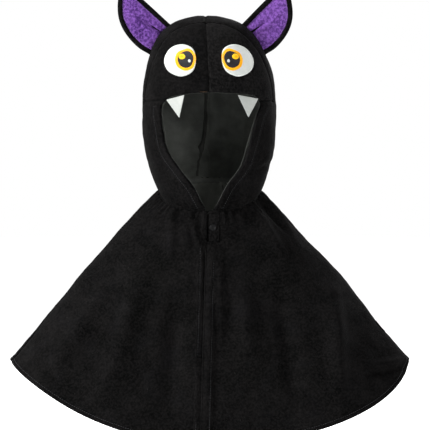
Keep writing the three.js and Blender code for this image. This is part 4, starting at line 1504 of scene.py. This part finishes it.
@dataclass
class Fangs:
    """The felt fangs that hang from the rim, each an outline of its sewn edge's two ends and its tip."""

    left: tuple[Point, ...] = ((0.0535, 0.178), (0.0925, 0.1714), (0.0738, 0.1358))
    right: tuple[Point, ...] = ((-0.0465, 0.1778), (-0.0805, 0.169), (-0.056, 0.1345))
    thickness: float = 0.0016
    corner: float = 0.0012

    def build(self) -> list[bpy.types.Object]:
        """Builds both fangs in the planes of the frame's own.

        Returns:
            The pieces.
        """
        made = []
        for side, corners in ((Side.LEFT, self.left), (Side.RIGHT, self.right)):
            name = "fang_" + side.word
            low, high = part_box(name)
            (inner, outer, tip), half = np.array(corners), self.thickness / 2
            slope = (high.y - low.y - self.thickness) / (outer[0] - inner[0])
            centre = (inner + outer + tip) / 3
            line = []
            for a, b, c in ((tip, inner, outer), (inner, outer, tip), (outer, tip, inner)):
                for share in np.linspace(0, 1, 5):
                    start = b + flat_unit(a - b) * self.corner
                    end = b + flat_unit(c - b) * self.corner
                    line.append((1 - share) ** 2 * start + 2 * share * (1 - share) * b + share**2 * end)
                line += [b + (c - b) * t for t in (0.2, 0.35, 0.5, 0.65, 0.8)]
            flat = np.array(line)
            bend = 0.0012 * side.value

            def lay(spots: Array, size: float, front: float) -> Array:
                """Points of one ring of the front or the back."""
                swell = half * (1 - 0.75 * max(0.0, (size - 0.9) / 0.1) ** 2)
                depth = low.y + half + slope * (spots[:, 0] - inner[0])
                drop = np.clip((inner[1] - spots[:, 1]) / 0.04, 0, 1)
                curl = bend * drop**2 - 0.0008 * drop
                return np.stack([spots[:, 0], depth + curl - front * swell, spots[:, 1]], axis=1)

            rings = (1.0, 0.98, 0.95, 0.9, 0.75, 0.5, 0.25)
            front = capped(flat, centre, rings, lambda s, k: lay(s, k, 1.0))
            behind = capped(flat, centre, rings, lambda s, k: lay(s, k, -1.0))
            points, faces = joined([front, (behind[0], [f[::-1] for f in behind[1]])])
            count, first = len(flat), len(front[0])
            faces += [(i, first + i, first + (i + 1) % count, (i + 1) % count) for i in range(count)]
            # The fangs take the felt's darker copy, painted shade.
            piece = new_piece(name + "_cloth", points, faces, FANG_FELT_PAINTED_SHADE.material())
            face_out(piece)
            made.append(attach(dress(piece, SlotName.FELT, name), name))
        return made


@dataclass
class Ears:
    """The ears: a black shell with a rolled border round a purple plush face, drawn sewn edge along x."""

    hood: Hood
    base_top: float = 0.315
    base_bottom: float = 0.2565
    depth: float = -0.002
    gap: float = 0.0028
    thick: float = 0.009
    border: float = 0.0085
    bend: float = 0.026
    edge: tuple[Point, ...] = (
        (-0.0358, 0.0), (-0.0443, 0.068), (-0.046, 0.104), (-0.040, 0.113), (-0.0195, 0.105),
        (-0.0025, 0.0954),
        (0.0123, 0.0834), (0.0243, 0.0673), (0.0329, 0.0462), (0.0375, 0.0194), (0.0358, 0.0),
    )

    def seat(self) -> tuple[Array, Array, Array]:
        """The sewn edge on the wearer's left: the way along it, the way to the tip, and its middle.

        Returns:
            The two directions and the middle point.
        """
        form = self.hood.form
        top, foot = [
            np.array([form.section(form.up_at(np.array(z)))[1], self.depth, z])
            for z in (self.base_top, self.base_bottom)
        ]
        along = unit(foot - top)
        out = np.array([-along[2], 0.0, along[0]])
        return along, out, (top + foot) / 2 + out * self.gap

    def in_space(self, side: Side, flat: Array, front: Array) -> Array:
        """Points of the ear's own plane, at distances in front of its middle, in space."""
        along, out, middle = self.seat()
        spots = middle + flat[:, :1] * along + flat[:, 1:] * out + front[:, None] * np.array([0.0, -1.0, 0.0])
        spots[:, 0] *= side.value
        return self.hood.form.leant(spots)

    def foot(self, side: Side, xs: Array) -> Array:
        """How far up the ear's plane the hood's face lies, along its sewn edge.

        Args:
            side: the wearer's left or right.
            xs: places across the sewn edge.
        Returns:
            One distance a place.
        """
        found = []
        for x in xs:
            far, near = self.in_space(side, np.array([[x, 0.06], [x, 0.0]]), np.zeros(2))
            way = Vector(near - far).normalized()
            hit = self.hood.ground.tree.ray_cast(Vector(far), way)[3]
            found.append(0.06 - (hit if hit else 0.06))
        return np.array(found)

    def outline(self, side: Side, inset: float, sunk: float) -> Array:
        """The ear's outline moved in from its edge, closed along the hood.

        Args:
            side: the wearer's left or right.
            inset: how far in from the edge.
            sunk: how far the sewn edge lies under the hood's face.
        Returns:
            The outline's flat points.
        """
        line = smooth_line(self.edge, False, 0.0025)
        if inset > 0:
            run = flat_unit(np.gradient(line, axis=0))
            moved = line + inset * np.stack([run[:, 1], -run[:, 0]], axis=1)
            away = np.array([np.min(np.linalg.norm(line - p, axis=1)) for p in moved])
            line = moved[(away > inset * 0.95) & (moved[:, 1] > 0.001)]
        xs = np.linspace(line[-1, 0], line[0, 0], 26)
        foot = np.stack([xs, self.foot(side, xs) - sunk], axis=1)
        return np.concatenate([line, foot])

    def build(self) -> list[bpy.types.Object]:
        """Builds both ears.

        Returns:
            The pieces.
        """
        made = []
        border = smooth_line(self.edge, False, 0.001)
        for side in Side:
            word = side.word

            def from_edge(flat: Array) -> Array:
                """How far flat points lie from the ear's edge."""
                return np.array([np.min(np.linalg.norm(border - p, axis=1)) for p in flat])

            def front(flat: Array, _: float) -> Array:
                """The shell's front: a rolled border, then a floor under the plush."""
                away = from_edge(flat)
                roll = np.sqrt(np.clip(1 - (away / (self.border * 0.55) - 1) ** 2, 0, 1))
                past = away > self.border * 0.55
                height = np.where(past, 0.0012 + 0.0033 * np.clip(roll, 0, 1), 0.0045 * roll)
                return self.in_space(side, flat, height)

            def behind(flat: Array, _: float) -> Array:
                """The shell's soft back."""
                away = np.clip(from_edge(flat) / 0.014, 0, 1)
                return self.in_space(side, flat, -0.0045 * np.sqrt(1 - (1 - away) ** 2) - 0.0001)

            def plush(flat: Array, size: float) -> Array:
                """The plush face, with the crease that runs up from its sewn edge."""
                rise = 0.0014 + 0.0022 * math.sqrt(max(0.0, 1 - size**4))
                spots = np.stack([flat[:, 0], np.full(len(flat), -1.0), flat[:, 1]], axis=1)
                ridge = Crease((-0.004, -0.004), (-0.009, 0.078), 0.0045, 0.0022).at(spots)
                valley = Crease((-0.013, -0.006), (-0.011, 0.055), 0.0026, -0.0030).at(spots)
                dent = Crease((0.012, -0.004), (0.004, 0.045), 0.006, -0.0012).at(spots)
                uneven = Unevenness(0.0008, 0.018, 2.0 + side.value).at(spots)
                return self.in_space(side, flat, rise + ridge + valley + dent + uneven)

            rings = (
                1.0, 0.992, 0.98, 0.96, 0.94, 0.92, 0.9, 0.87, 0.84, 0.81, 0.78, 0.74, 0.68, 0.6, 0.5,
                0.38, 0.25, 0.12,
            )
            whole = self.outline(side, 0.0, 0.002)
            centre = np.array([-0.004, 0.048])
            face = capped(whole, centre, rings, front)
            rear = capped(whole, centre, rings, behind)
            points, faces = joined([face, (rear[0], [f[::-1] for f in rear[1]])])
            shell = new_piece("ear_shell_cloth_" + word, points, faces, VELOUR.material(), 2e-4)
            face_out(shell)
            dress(shell, SlotName.VELOUR, "ear_shell_" + word, "ear_wadding_" + word)
            inner = self.outline(side, self.border, 0.0018)
            points, faces = capped(inner, centre, rings, plush)
            flesh = new_piece("ear_plush_" + word, points, faces, PLUSH.material())
            dress(flesh, SlotName.PLUSH, "ear_lining_" + word)
            line = self.outline(side, self.border + 0.0022, 0.0)[: -26]
            spots = np.stack([line[:, 0], np.full(len(line), -1.0), line[:, 1]], axis=1)
            lift = 0.0026 + Unevenness(0.0008, 0.018, 2.0 + side.value).at(spots)
            seam = self.in_space(side, line, lift)
            points, faces = Thread(0.0022, 0.001, 0.0003).mesh(
                seam, np.tile([0.0, -1.0, 0.0], (len(seam), 1)),
            )
            stitches = new_piece("ear_stitches_" + word, points, faces, MAUVE_THREAD.material())
            dress(stitches, SlotName.PLUSH)
            start, end = self.in_space(side, np.array([[0.0, 0.001], [0.0, self.bend]]), np.zeros(2))
            for piece in (shell, flesh, stitches):
                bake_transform(piece)
            made += [shell, flesh, stitches]
        return made


# ---------------------------------------------------------------- the cape


@dataclass
class Cape:
    """The cape: a back, two fronts, their facings and the tape in the neck."""

    form: CapeForm
    thickness: float = 0.003
    step: float = 0.0056
    overlap: float = 0.0015
    lap: float = -0.0024
    lap_height: float = 0.0028
    hem_turn: float = 0.0095
    hem_stitch: float = 0.008
    pucker_reach: float = 0.012
    tab_foot_z: float = -0.104
    roll_points: int = 260
    roll_sides: int = 8
    band: float = 0.0155
    facing_width: float = 0.015
    facing_depth: float = 0.0046
    fold_top_z: float = -0.102
    fold_hem_x: float = 0.240
    fold_soft: float = 0.022
    tab_room: tuple[float, float, float] = (0.0196, -0.0976, -0.0434)
    folds: tuple[Crease, ...] = (
        Crease((-0.046, -0.028), (-0.018, -0.106), 0.0059, 0.0102),
        Crease((-0.040, -0.040), (-0.028, -0.110), 0.0051, -0.0077),
        Crease((-0.071, -0.025), (-0.072, -0.135), 0.0085, 0.0065),
        Crease((0.084, -0.030), (0.142, -0.125), 0.0095, 0.0085),
        Crease((0.086, -0.006), (0.150, -0.080), 0.0059, -0.0077),
        Crease((0.100, -0.006), (0.150, -0.050), 0.0068, 0.0077),
        Crease((0.064, -0.190), (0.078, -0.320), 0.0170, 0.0128),
        Crease((0.020, -0.120), (0.022, -0.290), 0.0068, 0.0072),
        Crease((0.232, -0.200), (0.246, -0.400), 0.0187, 0.0153),
        Crease((0.296, -0.346), (0.372, -0.334), 0.0051, -0.0102),
        Crease((0.300, -0.330), (0.372, -0.322), 0.0068, 0.0077),
        Crease((-0.120, -0.140), (-0.190, -0.380), 0.0204, 0.0153),
        Crease((-0.060, -0.200), (-0.080, -0.420), 0.0170, -0.0102),
        Crease((-0.210, -0.200), (-0.300, -0.360), 0.0187, 0.0102),
        Crease((0.130, -0.180), (0.160, -0.400), 0.0153, -0.0102),
        Crease((0.000, 0.010), (0.010, -0.420), 0.030, 0.0119, Face.BACK),
        Crease((-0.050, 0.000), (-0.150, -0.400), 0.026, 0.0136, Face.BACK),
        Crease((-0.030, 0.005), (-0.070, -0.410), 0.018, -0.0085, Face.BACK),
        Crease((0.055, 0.000), (0.170, -0.390), 0.026, 0.0136, Face.BACK),
        Crease((0.035, 0.005), (0.085, -0.410), 0.018, -0.0085, Face.BACK),
        Crease((-0.085, -0.010), (-0.270, -0.360), 0.024, 0.0119, Face.BACK),
        Crease((0.085, -0.010), (0.280, -0.360), 0.024, 0.0119, Face.BACK),
    )

    def __post_init__(self) -> None:
        """Lays the cloth's reliefs."""
        ring = np.linspace(-math.pi, math.pi, 700)
        ups = np.linspace(0, 1, 420)
        channels = [Channel(self.form.place(ring, np.ones(700)), 0.0013, 0.003)]
        seams = [self.form.place(np.full(420, side.value * QUARTER), ups) for side in Side]
        channels += [Channel(seam, 0.0018, 0.003) for seam in seams]
        soft = [
            Unevenness(0.006, 0.13, 4.0, (1.0, 1.0, 0.45)),
            Unevenness(0.0022, 0.05, 1.5),
            Unevenness(0.0006, 0.014, 7.7),
        ]
        self.cloth = Cloth(self.form, [*channels, *self.folds, *soft], extra=self.edges)
        self.rows = graded(
            self.form.slant,
            self.step,
            (0.0008, 0.002, 0.0035, 0.006, 0.0072, 0.008, 0.0088, 0.0105, 0.0125),
            EDGE_STEPS,
        )
        angles = np.linspace(-1.2, 1.2, 241)
        self.ground = Ground.of(self.cloth.lay(angles[None, :], np.linspace(0.5, 1, 60)[:, None])[0])
        self.bare = Ground.of(self.form.place(angles[None, :], np.linspace(0.5, 1, 60)[:, None]))

    def edges(self, base: Array, angle: Array, up: Array) -> Array:
        """The turned hem, the stitched bands beside the opening, and the pulls below the neck.

        Args:
            base: points of the form, before any relief.
            angle: angles round the form.
            up: places up the form.
        Returns:
            One height a point.
        """
        up = np.broadcast_to(up, base.shape[:-1])
        angle = np.broadcast_to(angle, base.shape[:-1])
        low = up * self.form.slant
        height = 0.0009 * (1 - smooth_step((low - self.hem_turn) / 0.003))
        height -= 0.0011 * bell(low - self.hem_stitch, 0.0009)
        height -= 0.0012 * np.clip(1 - low / 0.002, 0, 1) ** 2
        front = np.cos(angle) > 0.2
        side = np.abs(base[..., 0] - self.form.opening_x(base[..., 2]))
        rise = 0.0022 * (1 - smooth_step((side - self.band + 0.0008) / 0.002))
        groove = -0.0020 * bell(side - self.band + 0.0028, 0.0010)
        lip = -0.0018 * np.clip(1 - (side - self.overlap) / 0.002, 0, 1) ** 2
        beside = base[..., 0] - self.form.opening_x(base[..., 2])
        gap = -0.0042 * bell(beside + 0.0048, 0.0019) * self.below_tab(base[..., 2])
        height += (rise + groove + lip + gap) * front
        down = (1 - up) * self.form.slant
        waves = np.sin(angle * 46 + 3 * np.sin(angle * 5))
        height += 0.0016 * waves * bell(down - self.pucker_reach, self.pucker_reach)
        flutes = np.sin(angle * 9 + 1.3 * np.sin(angle * 2.3 + 0.6)) * 0.004 * (1 - up) ** 2
        return height + flutes

    def below_tab(self, z: Array) -> Array:
        """Eases from 0 at the closure tab's foot to 1 lower down."""
        return smooth_step((self.tab_foot_z - z) / 0.02)

    def lapped(self, points: Array) -> Array:
        """How far the wearer's left band stands over the right one, below the closure."""
        away = np.abs(points[..., 0] - self.form.opening_x(points[..., 2]))
        return self.lap_height * (1 - smooth_step((away - 0.013) / 0.009)) * self.below_tab(points[..., 2])

    def edge_angle(self, side: Side, ups: Array, inset: float) -> Array:
        """The angle of one front's edge at places up the cape.

        Args:
            side: the wearer's left or right.
            ups: places up the cape.
            inset: how far from the opening's middle line.
        Returns:
            The angles.
        """
        low, high = np.full_like(ups, -0.3), np.full_like(ups, 0.3)
        for _ in range(40):
            middle = (low + high) / 2
            spot = self.form.place(middle, ups)
            inside = spot[..., 0] < self.form.opening_x(spot[..., 2]) + side.value * inset
            low, high = np.where(inside, middle, low), np.where(inside, high, middle)
        return low

    def front_grid(
        self,
        side: Side,
        start: float,
        rows: Array,
        columns: Array,
        end: float | None = None,
    ) -> tuple[Array, Array]:
        """Angles and places up from one front's edge to the side seam, or to a width.

        Args:
            side: the wearer's left or right.
            start: how far from the middle line it starts.
            rows: places up the front.
            columns: shares of the way across.
            end: how far from the middle line it ends, or the side seam.
        Returns:
            The angles and the places up.
        """
        first = self.edge_angle(side, rows, start)[:, None]
        last = side.value * QUARTER if end is None else self.edge_angle(side, rows, end)[:, None]
        angle = first + (last - first) * columns
        return angle, np.broadcast_to(rows[:, None], angle.shape)

    def fold_open(self, piece: bpy.types.Object, side: Side) -> bpy.types.Object:
        """Bakes a front piece's transform into its mesh.

        Args:
            piece: the piece.
            side: the wearer's left or right.
        Returns:
            The same piece.
        """
        x0, z0 = float(self.form.opening_x(self.fold_top_z)) + side.value * 0.003, self.fold_top_z
        hem = self.form.place(side.value * np.arcsin(self.fold_hem_x / self.form.half_width), np.array(0.0))
        x1, z1 = hem[0], hem[2]
        length = math.hypot(x1 - x0, z1 - z0)
        way = np.array([-side.value * abs(z1 - z0), 0.0, -abs(x1 - x0)]) / length
        middle = np.array([(x0 + x1) / 2, -0.11, (z0 + z1) / 2])
        start, end = middle - way * self.fold_soft, middle + way * self.fold_soft
        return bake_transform(piece, Body.CAPE.value, "front_" + side.word, start=tuple(start), end=tuple(end))

    def stitches(self, name: str, runs: list[tuple[Array, Array, float]]) -> bpy.types.Object:
        """Topstitching along runs of angles and places up, each at a height over the cloth.

        Args:
            name: the piece's name.
            runs: the angles, the places up and the height over the cloth of each run.
        Returns:
            The stitches.
        """
        parts = []
        for angle, up, lift in runs:
            spot, out = self.cloth.lay(angle, up)
            if name.endswith(Side.LEFT.word):
                spot = spot + out * self.lapped(spot)[..., None]
            parts.append(Thread(0.0032, 0.0014, 0.0005).mesh(spot + out * lift, out))
        points, faces = joined(parts)
        return dress(new_piece(name, points, faces, BLACK_THREAD.material()), SlotName.VELOUR)

    def build(self) -> list[bpy.types.Object]:
        """Builds the back, the fronts, the facings and the neck tape.

        Returns:
            The pieces.
        """
        made, rows = [], self.rows
        columns = QUARTER + 2 * QUARTER * graded(0.9, self.step, EDGE_STEPS, EDGE_STEPS)
        grid, _ = self.cloth.lay(columns[None, :], rows[:, None])
        back = grids_piece("cape_back_cloth", [grid], False, VELOUR.material())
        made.append(
            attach(thicken(dress(back, SlotName.VELOUR, "cape_back"), self.thickness), Body.CAPE.value)
        )
        hem_up = 0.008 / self.form.slant
        around = np.linspace(QUARTER + 0.01, 3 * QUARTER - 0.01, 500)
        sewn = self.stitches("cape_back_stitches", [(around, np.full(500, hem_up), 0.0001)])
        made.append(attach(sewn, Body.CAPE.value))
        near = (0.0007, 0.0018, 0.004, 0.008, 0.0108, 0.0118, 0.0128, 0.0145, 0.016, 0.018)
        for side in Side:
            word = side.word
            across = graded(0.42, self.step, near, EDGE_STEPS)
            angle, up = self.front_grid(side, self.lap if side is Side.LEFT else self.overlap, rows, across)
            grid, out = self.cloth.lay(angle, up)
            if side is Side.LEFT:
                grid = grid + out * self.lapped(grid)[..., None]
            front = grids_piece("cape_front_cloth_" + word, [grid], side is Side.RIGHT, VELOUR.material())
            if side is Side.LEFT:
                self.cut_tab_room(front)
            dress(front, SlotName.VELOUR, "cape_front_side_" + word, "cape_front_flap_" + word)
            self.fold_open(thicken(front, self.thickness), side)
            below = np.linspace(0.012 / self.form.slant, 0.84, 300)
            edge = self.edge_angle(side, below, self.band - 0.0028)
            hem = self.edge_angle(side, np.array([hem_up]), 0.010)[0]
            runs = [
                (edge, below, 0.0001),
                (np.linspace(hem, side.value * (QUARTER - 0.01), 300), np.full(300, hem_up), 0.0001),
            ]
            made += [front, self.fold_open(self.stitches("cape_front_stitches_" + word, runs), side)]
            rows_in = np.linspace(0.012 / self.form.slant, 0.82, 70)
            angle, up = self.front_grid(side, 0.003, rows_in, np.linspace(0, 1, 6), 0.003 + self.facing_width)
            spot, out = self.cloth.lay(angle, up)
            facing = grids_piece(
                "front_facing_cloth_" + word, [spot - out * self.facing_depth], side is Side.RIGHT,
                LINING.material(),
            )
            dress(facing, SlotName.LINING, "front_facing_" + word)
            made.append(self.fold_open(thicken(facing, 0.0008), side))
        made += [self.tape(), *self.seam_rolls(), self.yoke()]
        return made

    def cut_tab_room(self, front: bpy.types.Object) -> None:
        """Cuts the corner where the closure tab stands in the wearer's left front.

        Args:
            front: the front, whose own mesh is changed.
        """
        right, low, high = self.tab_room
        work = bmesh.new()
        work.from_mesh(front.data)
        planes = (((right, 0, 0), (1, 0, 0)), ((0, 0, low), (0, 0, 1)), ((0, 0, high), (0, 0, 1)))
        for spot, way in planes:
            middles = [(f, f.calc_center_median()) for f in work.faces]
            near = [f for f, c in middles if c.x < 0.045 and -0.12 < c.z < -0.035]
            parts = {e for f in near for e in f.edges} | {v for f in near for v in f.verts} | set(near)
            bmesh.ops.bisect_plane(work, geom=list(parts), plane_co=spot, plane_no=way, dist=1e-6)
        gone = []
        for f in work.faces:
            c = f.calc_center_median()
            if c.x < right and low < c.z < high and c.y < 0:
                gone.append(f)
        bmesh.ops.delete(work, geom=gone, context="FACES")
        work.to_mesh(front.data)
        work.free()

    def roll(
        self,
        name: str,
        start: float,
        sunk: float,
        half: Point,
        finish: ClothFinish,
        slot: SlotName,
    ) -> bpy.types.Object:
        """A soft roll of cloth round the neck ring.

        Args:
            name: the piece's name.
            start: the angle from the front that it starts and ends at.
            sunk: how far inside the cape's face its middle lies.
            half: half its thickness and half its height.
            finish: its cloth.
            slot: the slot it takes its finish from.
        Returns:
            The roll.
        """
        angle = np.linspace(start, 4 * QUARTER - start, self.roll_points)
        ones = np.ones(self.roll_points)
        spot, out = self.form.place(angle, ones), self.form.normal(angle, ones)
        level = unit(out * np.array([1.0, 1.0, 0.0]))
        turns = np.arange(self.roll_sides) * (4 * QUARTER / self.roll_sides)
        uneven = 1 + 0.12 * np.sin(angle * 61)
        rings = []
        for t in (*turns, turns[0]):
            around = level * (half[0] * math.cos(t)) + np.array([0.0, 0.0, half[1] * math.sin(t)])
            rings.append(spot - level * sunk + uneven[:, None] * around)
        piece = grids_piece(name, [np.stack(rings)], False, finish.material())
        face_out(piece)
        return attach(soften(dress(piece, slot)), Body.CAPE.value)

    def seam_rolls(self) -> list[bpy.types.Object]:
        """The turned-in seam allowances of hood and cape, and the lining's fold over them at the nape."""
        return [
            self.roll("neck_seam_roll", 0.07, 0.0034, (0.0021, 0.0044), VELOUR, SlotName.VELOUR),
            self.roll("nape_seam_cover", 1.0, 0.0066, (0.0011, 0.0062), LINING, SlotName.LINING),
        ]

    def yoke(self) -> bpy.types.Object:
        """The lining's lower edge, which hangs inside the back of the neck below the seam.

        Returns:
            The yoke.
        """
        angle, share = np.meshgrid(np.linspace(1.15, 4 * QUARTER - 1.15, 120), np.linspace(0, 1, 16))
        deep = 0.072 * smooth_step((-np.cos(angle) + 0.35) / 0.9) + 0.004
        up = 1 - deep * (1 - share) / self.form.slant
        spot, out = self.cloth.lay(angle, up)
        ruffle = 0.0015 * (1 - share) * np.sin(angle * 13)
        # The yoke takes the lining's lighter copy, painted light inside the neck.
        piece = grids_piece(
            "neck_yoke_lining",
            [spot - out * (0.0052 + np.abs(ruffle))[..., None]],
            False,
            LINING_PAINTED_LIGHT.material(),
        )
        dress(piece, SlotName.LINING)
        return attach(thicken(piece, 0.0006), Body.CAPE.value)

    def tape(self) -> bpy.types.Object:
        """The tape over the neck seam, inside.

        Returns:
            The tape.
        """
        start = 3 * QUARTER / 10
        angle = np.linspace(start, 4 * QUARTER - start, 150)[None, :]
        down = np.linspace(0.0055, 0.017, 5)[:, None]
        up = 1 - down / self.form.slant * 1.15
        angle, up = np.broadcast_arrays(angle, up[::-1])
        spot, out = self.cloth.lay(angle, up)
        piece = grids_piece("neck_tape_cloth", [spot - out * self.facing_depth], False, TAPE.material())
        dress(piece, SlotName.TAPE, "neck_tape")
        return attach(thicken(piece, 0.001), Body.CAPE.value)


@dataclass
class Closure:
    """The closure at the throat: a tab over an underlap, joined by a pressed snap."""

    cape: Cape
    tab_x: Point = (-0.0014, 0.0195)
    tab_z: Point = (-0.0974, -0.0436)
    underlap_x: Point = (-0.009, 0.0155)
    underlap_depth: float = 0.0054
    snap: Point = (0.007, -0.071)
    turns: int = 48
    cap: tuple[Point, ...] = (
        (0.0, 0.0017), (0.002, 0.00168), (0.004, 0.0015), (0.0044, 0.00125), (0.0049, 0.00135),
        (0.0056, 0.0012), (0.0061, 0.0008), (0.0062, 0.0004), (0.0058, 0.0001), (0.0, 0.0001),
    )
    socket: tuple[Point, ...] = (
        (0.0026, -0.0004), (0.0050, -0.0004), (0.0050, -0.0026), (0.0047, -0.0031), (0.0040, -0.0033),
        (0.0033, -0.0030), (0.0029, -0.0033), (0.0026, -0.0030), (0.0026, -0.0004),
    )
    stud: tuple[Point, ...] = (
        (0.0, 0.0018), (0.0014, 0.0017), (0.0021, 0.0013), (0.0022, 0.0009), (0.0018, 0.0003),
        (0.0022, 0.0), (0.0040, -0.0001), (0.0047, -0.0006), (0.0048, -0.0014), (0.0, -0.0014),
    )
    stud_back: tuple[Point, ...] = (
        (0.0, 0.0), (0.0047, 0.0), (0.0048, -0.0006), (0.0044, -0.0013),
        (0.0030, -0.0015), (0.0026, -0.0011), (0.0, -0.0010),
    )

    def patch(self, name: str, span: Point, depth: float, thick: float, bulge: float) -> bpy.types.Object:
        """A small rounded rectangle of velour over part of the front view.

        Args:
            name: the piece's name.
            span: its left and right sides.
            depth: how far inside the cape it lies.
            thick: its thickness.
            bulge: how far its middle swells.
        Returns:
            The piece, not yet dressed.
        """
        rim, step = (0.0006, 0.0018, 0.003, 0.0042), 0.003
        xs, zs = [a + (b - a) * graded(b - a, step, rim, rim) for a, b in (span, self.tab_z)]
        flat = np.stack(np.meshgrid(xs, zs), axis=-1)
        middle = (flat[0, 0] + flat[-1, -1]) / 2
        half = np.array([b - a for a, b in (span, self.tab_z)]) / 2
        local = (flat - middle) / half
        pull = 1 - 0.035 * (local[..., ::-1] ** 2) * (half[::-1] / half.max())
        flat = middle + local * pull * half
        spot, out = self.cape.bare.on(flat.reshape(-1, 2))
        away = np.min(half * (1 - np.abs(local)), axis=-1).reshape(-1)
        stitched = -0.0007 * bell(away - 0.0030, 0.0007)
        height = bulge * smooth_step(away / 0.006) - 0.0008 * np.clip(1 - away / 0.0015, 0, 1) + stitched
        height += Unevenness(0.0006, 0.011, 6.0).at(spot)
        grid = (spot + out * (height - depth)[:, None]).reshape(*flat.shape[:2], 3)
        piece = grids_piece(name, [grid], False, VELOUR.material())
        return soften(thicken(piece, thick))

    def turned(self, name: str, profile: Sequence[Point]) -> bpy.types.Object:
        """A round piece on the snap's axis, from its profile of radius and height off the cape's face.

        Args:
            name: the piece's name.
            profile: radius and height of each ring.
        Returns:
            The piece.
        """
        spot, out = self.cape.bare.on(np.array([self.snap]))
        side = unit(np.cross(out[0], np.array([0.0, 0.0, 1.0])))
        rise = np.cross(side, out[0])
        points = []
        for radius, height in profile:
            for turn in np.arange(self.turns) * (2 * math.pi / self.turns):
                points.append(
                    spot[0] + out[0] * height + radius * (side * math.cos(turn) + rise * math.sin(turn))
                )
        faces = []
        for k in range(len(profile) - 1):
            for i in range(self.turns):
                j = (i + 1) % self.turns
                a, b = k * self.turns, (k + 1) * self.turns
                faces.append((a + i, a + j, b + j, b + i))
        piece = new_piece(name, np.array(points), faces, ENAMEL.material(), 2e-5)
        face_out(piece)
        return dress(piece, SlotName.ENAMEL)

    def build(self) -> list[bpy.types.Object]:
        """Builds the tab, the underlap and the snap.

        Returns:
            The pieces.
        """
        tab = self.patch("closure_tab_cloth", self.tab_x, 0.0, 0.003, 0.0005)
        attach(dress(tab, SlotName.VELOUR, "closure_tab"), Body.TAB.value)
        under = self.patch("closure_underlap_cloth", self.underlap_x, self.underlap_depth, 0.0016, 0.0)
        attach(dress(under, SlotName.VELOUR, "closure_underlap"), Body.CAPE.value)
        top, low = -self.underlap_depth + 0.0019, -self.underlap_depth - 0.0020
        made = [tab, under]
        pieces = (
            ("snap_cap", self.cap, 0.0, Body.TAB),
            ("snap_socket", self.socket, 0.0, Body.TAB),
            ("snap_stud", self.stud, top, Body.CAPE),
            ("snap_stud_back", self.stud_back, low, Body.CAPE),
        )
        for name, profile, level, body in pieces:
            piece = self.turned(name + "_metal", [(radius, level + height) for radius, height in profile])
            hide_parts(name)
            made.append(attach(piece, body.value))
        return made


# ---------------------------------------------------------------- the studio


@dataclass
class Studio:
    """A plain pale floor in soft light, and the camera."""

    floor_z: float
    floor_reach: float = 60.0
    room_light: float = 0.24
    lens: float = 300.0
    camera: tuple[float, float, float] = (0.0109, -6.808, -0.0475)

    def floor(self) -> None:
        """A wide floor of white paper."""
        reach = self.floor_reach
        points = [(x * reach, y * reach, self.floor_z) for x, y in ((-1, -1), (1, -1), (1, 1), (-1, 1))]
        made = blank_material("white_paper")
        wiring = Wiring(made.node_tree)
        place = wiring.node("TexCoord").outputs["Object"]
        grain = wiring.node("TexNoise", {"Vector": place, "Scale": 3.0, "Detail": 2.0}).outputs[0]
        colour = wiring.blended(grain, (0.97, 0.97, 0.97, 1.0), (1.0, 1.0, 1.0, 1.0))
        seen = wiring.node("LightPath").outputs["Is Camera Ray"]
        glow = wiring.ranged(seen, 0.0, 1.0, 0.1, 0.86)
        skin = {
            "Base Color": colour, "Roughness": 0.9, "Emission Color": (1.0, 1.0, 1.0, 1.0),
            "Emission Strength": glow,
        }
        wiring.node("OutputMaterial", {"Surface": wiring.node("BsdfPrincipled", skin).outputs[0]})
        new_piece("floor", np.array(points), [(0, 1, 2, 3)], made)

    @staticmethod
    def lamp(
        name: str,
        place: tuple[float, float, float],
        size: float,
        power: float,
        aim: tuple[float, float, float],
    ) -> None:
        """A square soft lamp that looks at a point.

        Args:
            name: the lamp's name.
            place: where it stands.
            size: its width.
            power: its power in watts.
            aim: the point that it looks at.
        """
        data = bpy.data.lights.new(name, "AREA")
        data.shape, data.size, data.energy = "SQUARE", size, power
        made = bpy.data.objects.new(name, data)
        bpy.context.scene.collection.objects.link(made)
        made.location = place
        made.rotation_mode = "QUATERNION"
        made.rotation_quaternion = (Vector(aim) - Vector(place)).to_track_quat("-Z", "Y")

    def build(self) -> None:
        """Sets the floor, the lamps, the surroundings and the camera."""
        self.floor()
        aim = (0.0, 0.0, -0.05)
        self.lamp("key", (-2.9, -0.95, 1.7), 0.7, 210.0, aim)
        self.lamp("fill", (1.8, -2.6, 0.7), 0.9, 42.0, aim)
        self.lamp("top", (0.1, 0.3, 2.4), 1.4, 40.0, aim)
        self.lamp("behind", (1.6, 2.4, 1.6), 1.2, 60.0, aim)
        world = bpy.data.worlds.new("white_room")
        world.use_nodes = True
        world.node_tree.nodes.clear()
        wiring = Wiring(world.node_tree)
        seen = wiring.node("LightPath").outputs["Is Camera Ray"]
        glow = wiring.ranged(seen, 0.0, 1.0, self.room_light, 1.0)
        room = wiring.node("Background", {"Color": (1.0, 1.0, 1.0, 1.0), "Strength": glow})
        wiring.node("OutputWorld", {"Surface": room.outputs[0]})
        scene = bpy.context.scene
        scene.world = world
        scene.view_settings.view_transform = "Standard"
        data = bpy.data.cameras.new("camera")
        data.lens, data.sensor_width = self.lens, 36.0
        made = bpy.data.objects.new("camera", data)
        scene.collection.objects.link(made)
        made.location = self.camera
        made.rotation_euler = (QUARTER, 0.0, 0.0)
        scene.camera = made


def main() -> None:
    """Builds the costume piece by piece, then the studio."""
    logging.basicConfig(level=logging.INFO, format="%(message)s")
    neck = NeckRing()
    form = HoodForm(neck)
    hood = Hood(form, FaceOpening(form))
    cape = Cape(CapeForm(neck))
    for part in (hood, Eyes(hood), Fangs(), Ears(hood), cape, Closure(cape)):
        for piece in part.build():
            LOG.info("%s: %s has %d points", type(part).__name__, piece.name, len(piece.data.vertices))
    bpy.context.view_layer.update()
    Studio(CAD_BOX[0].z).build()


if __name__ == "__main__":
    main()
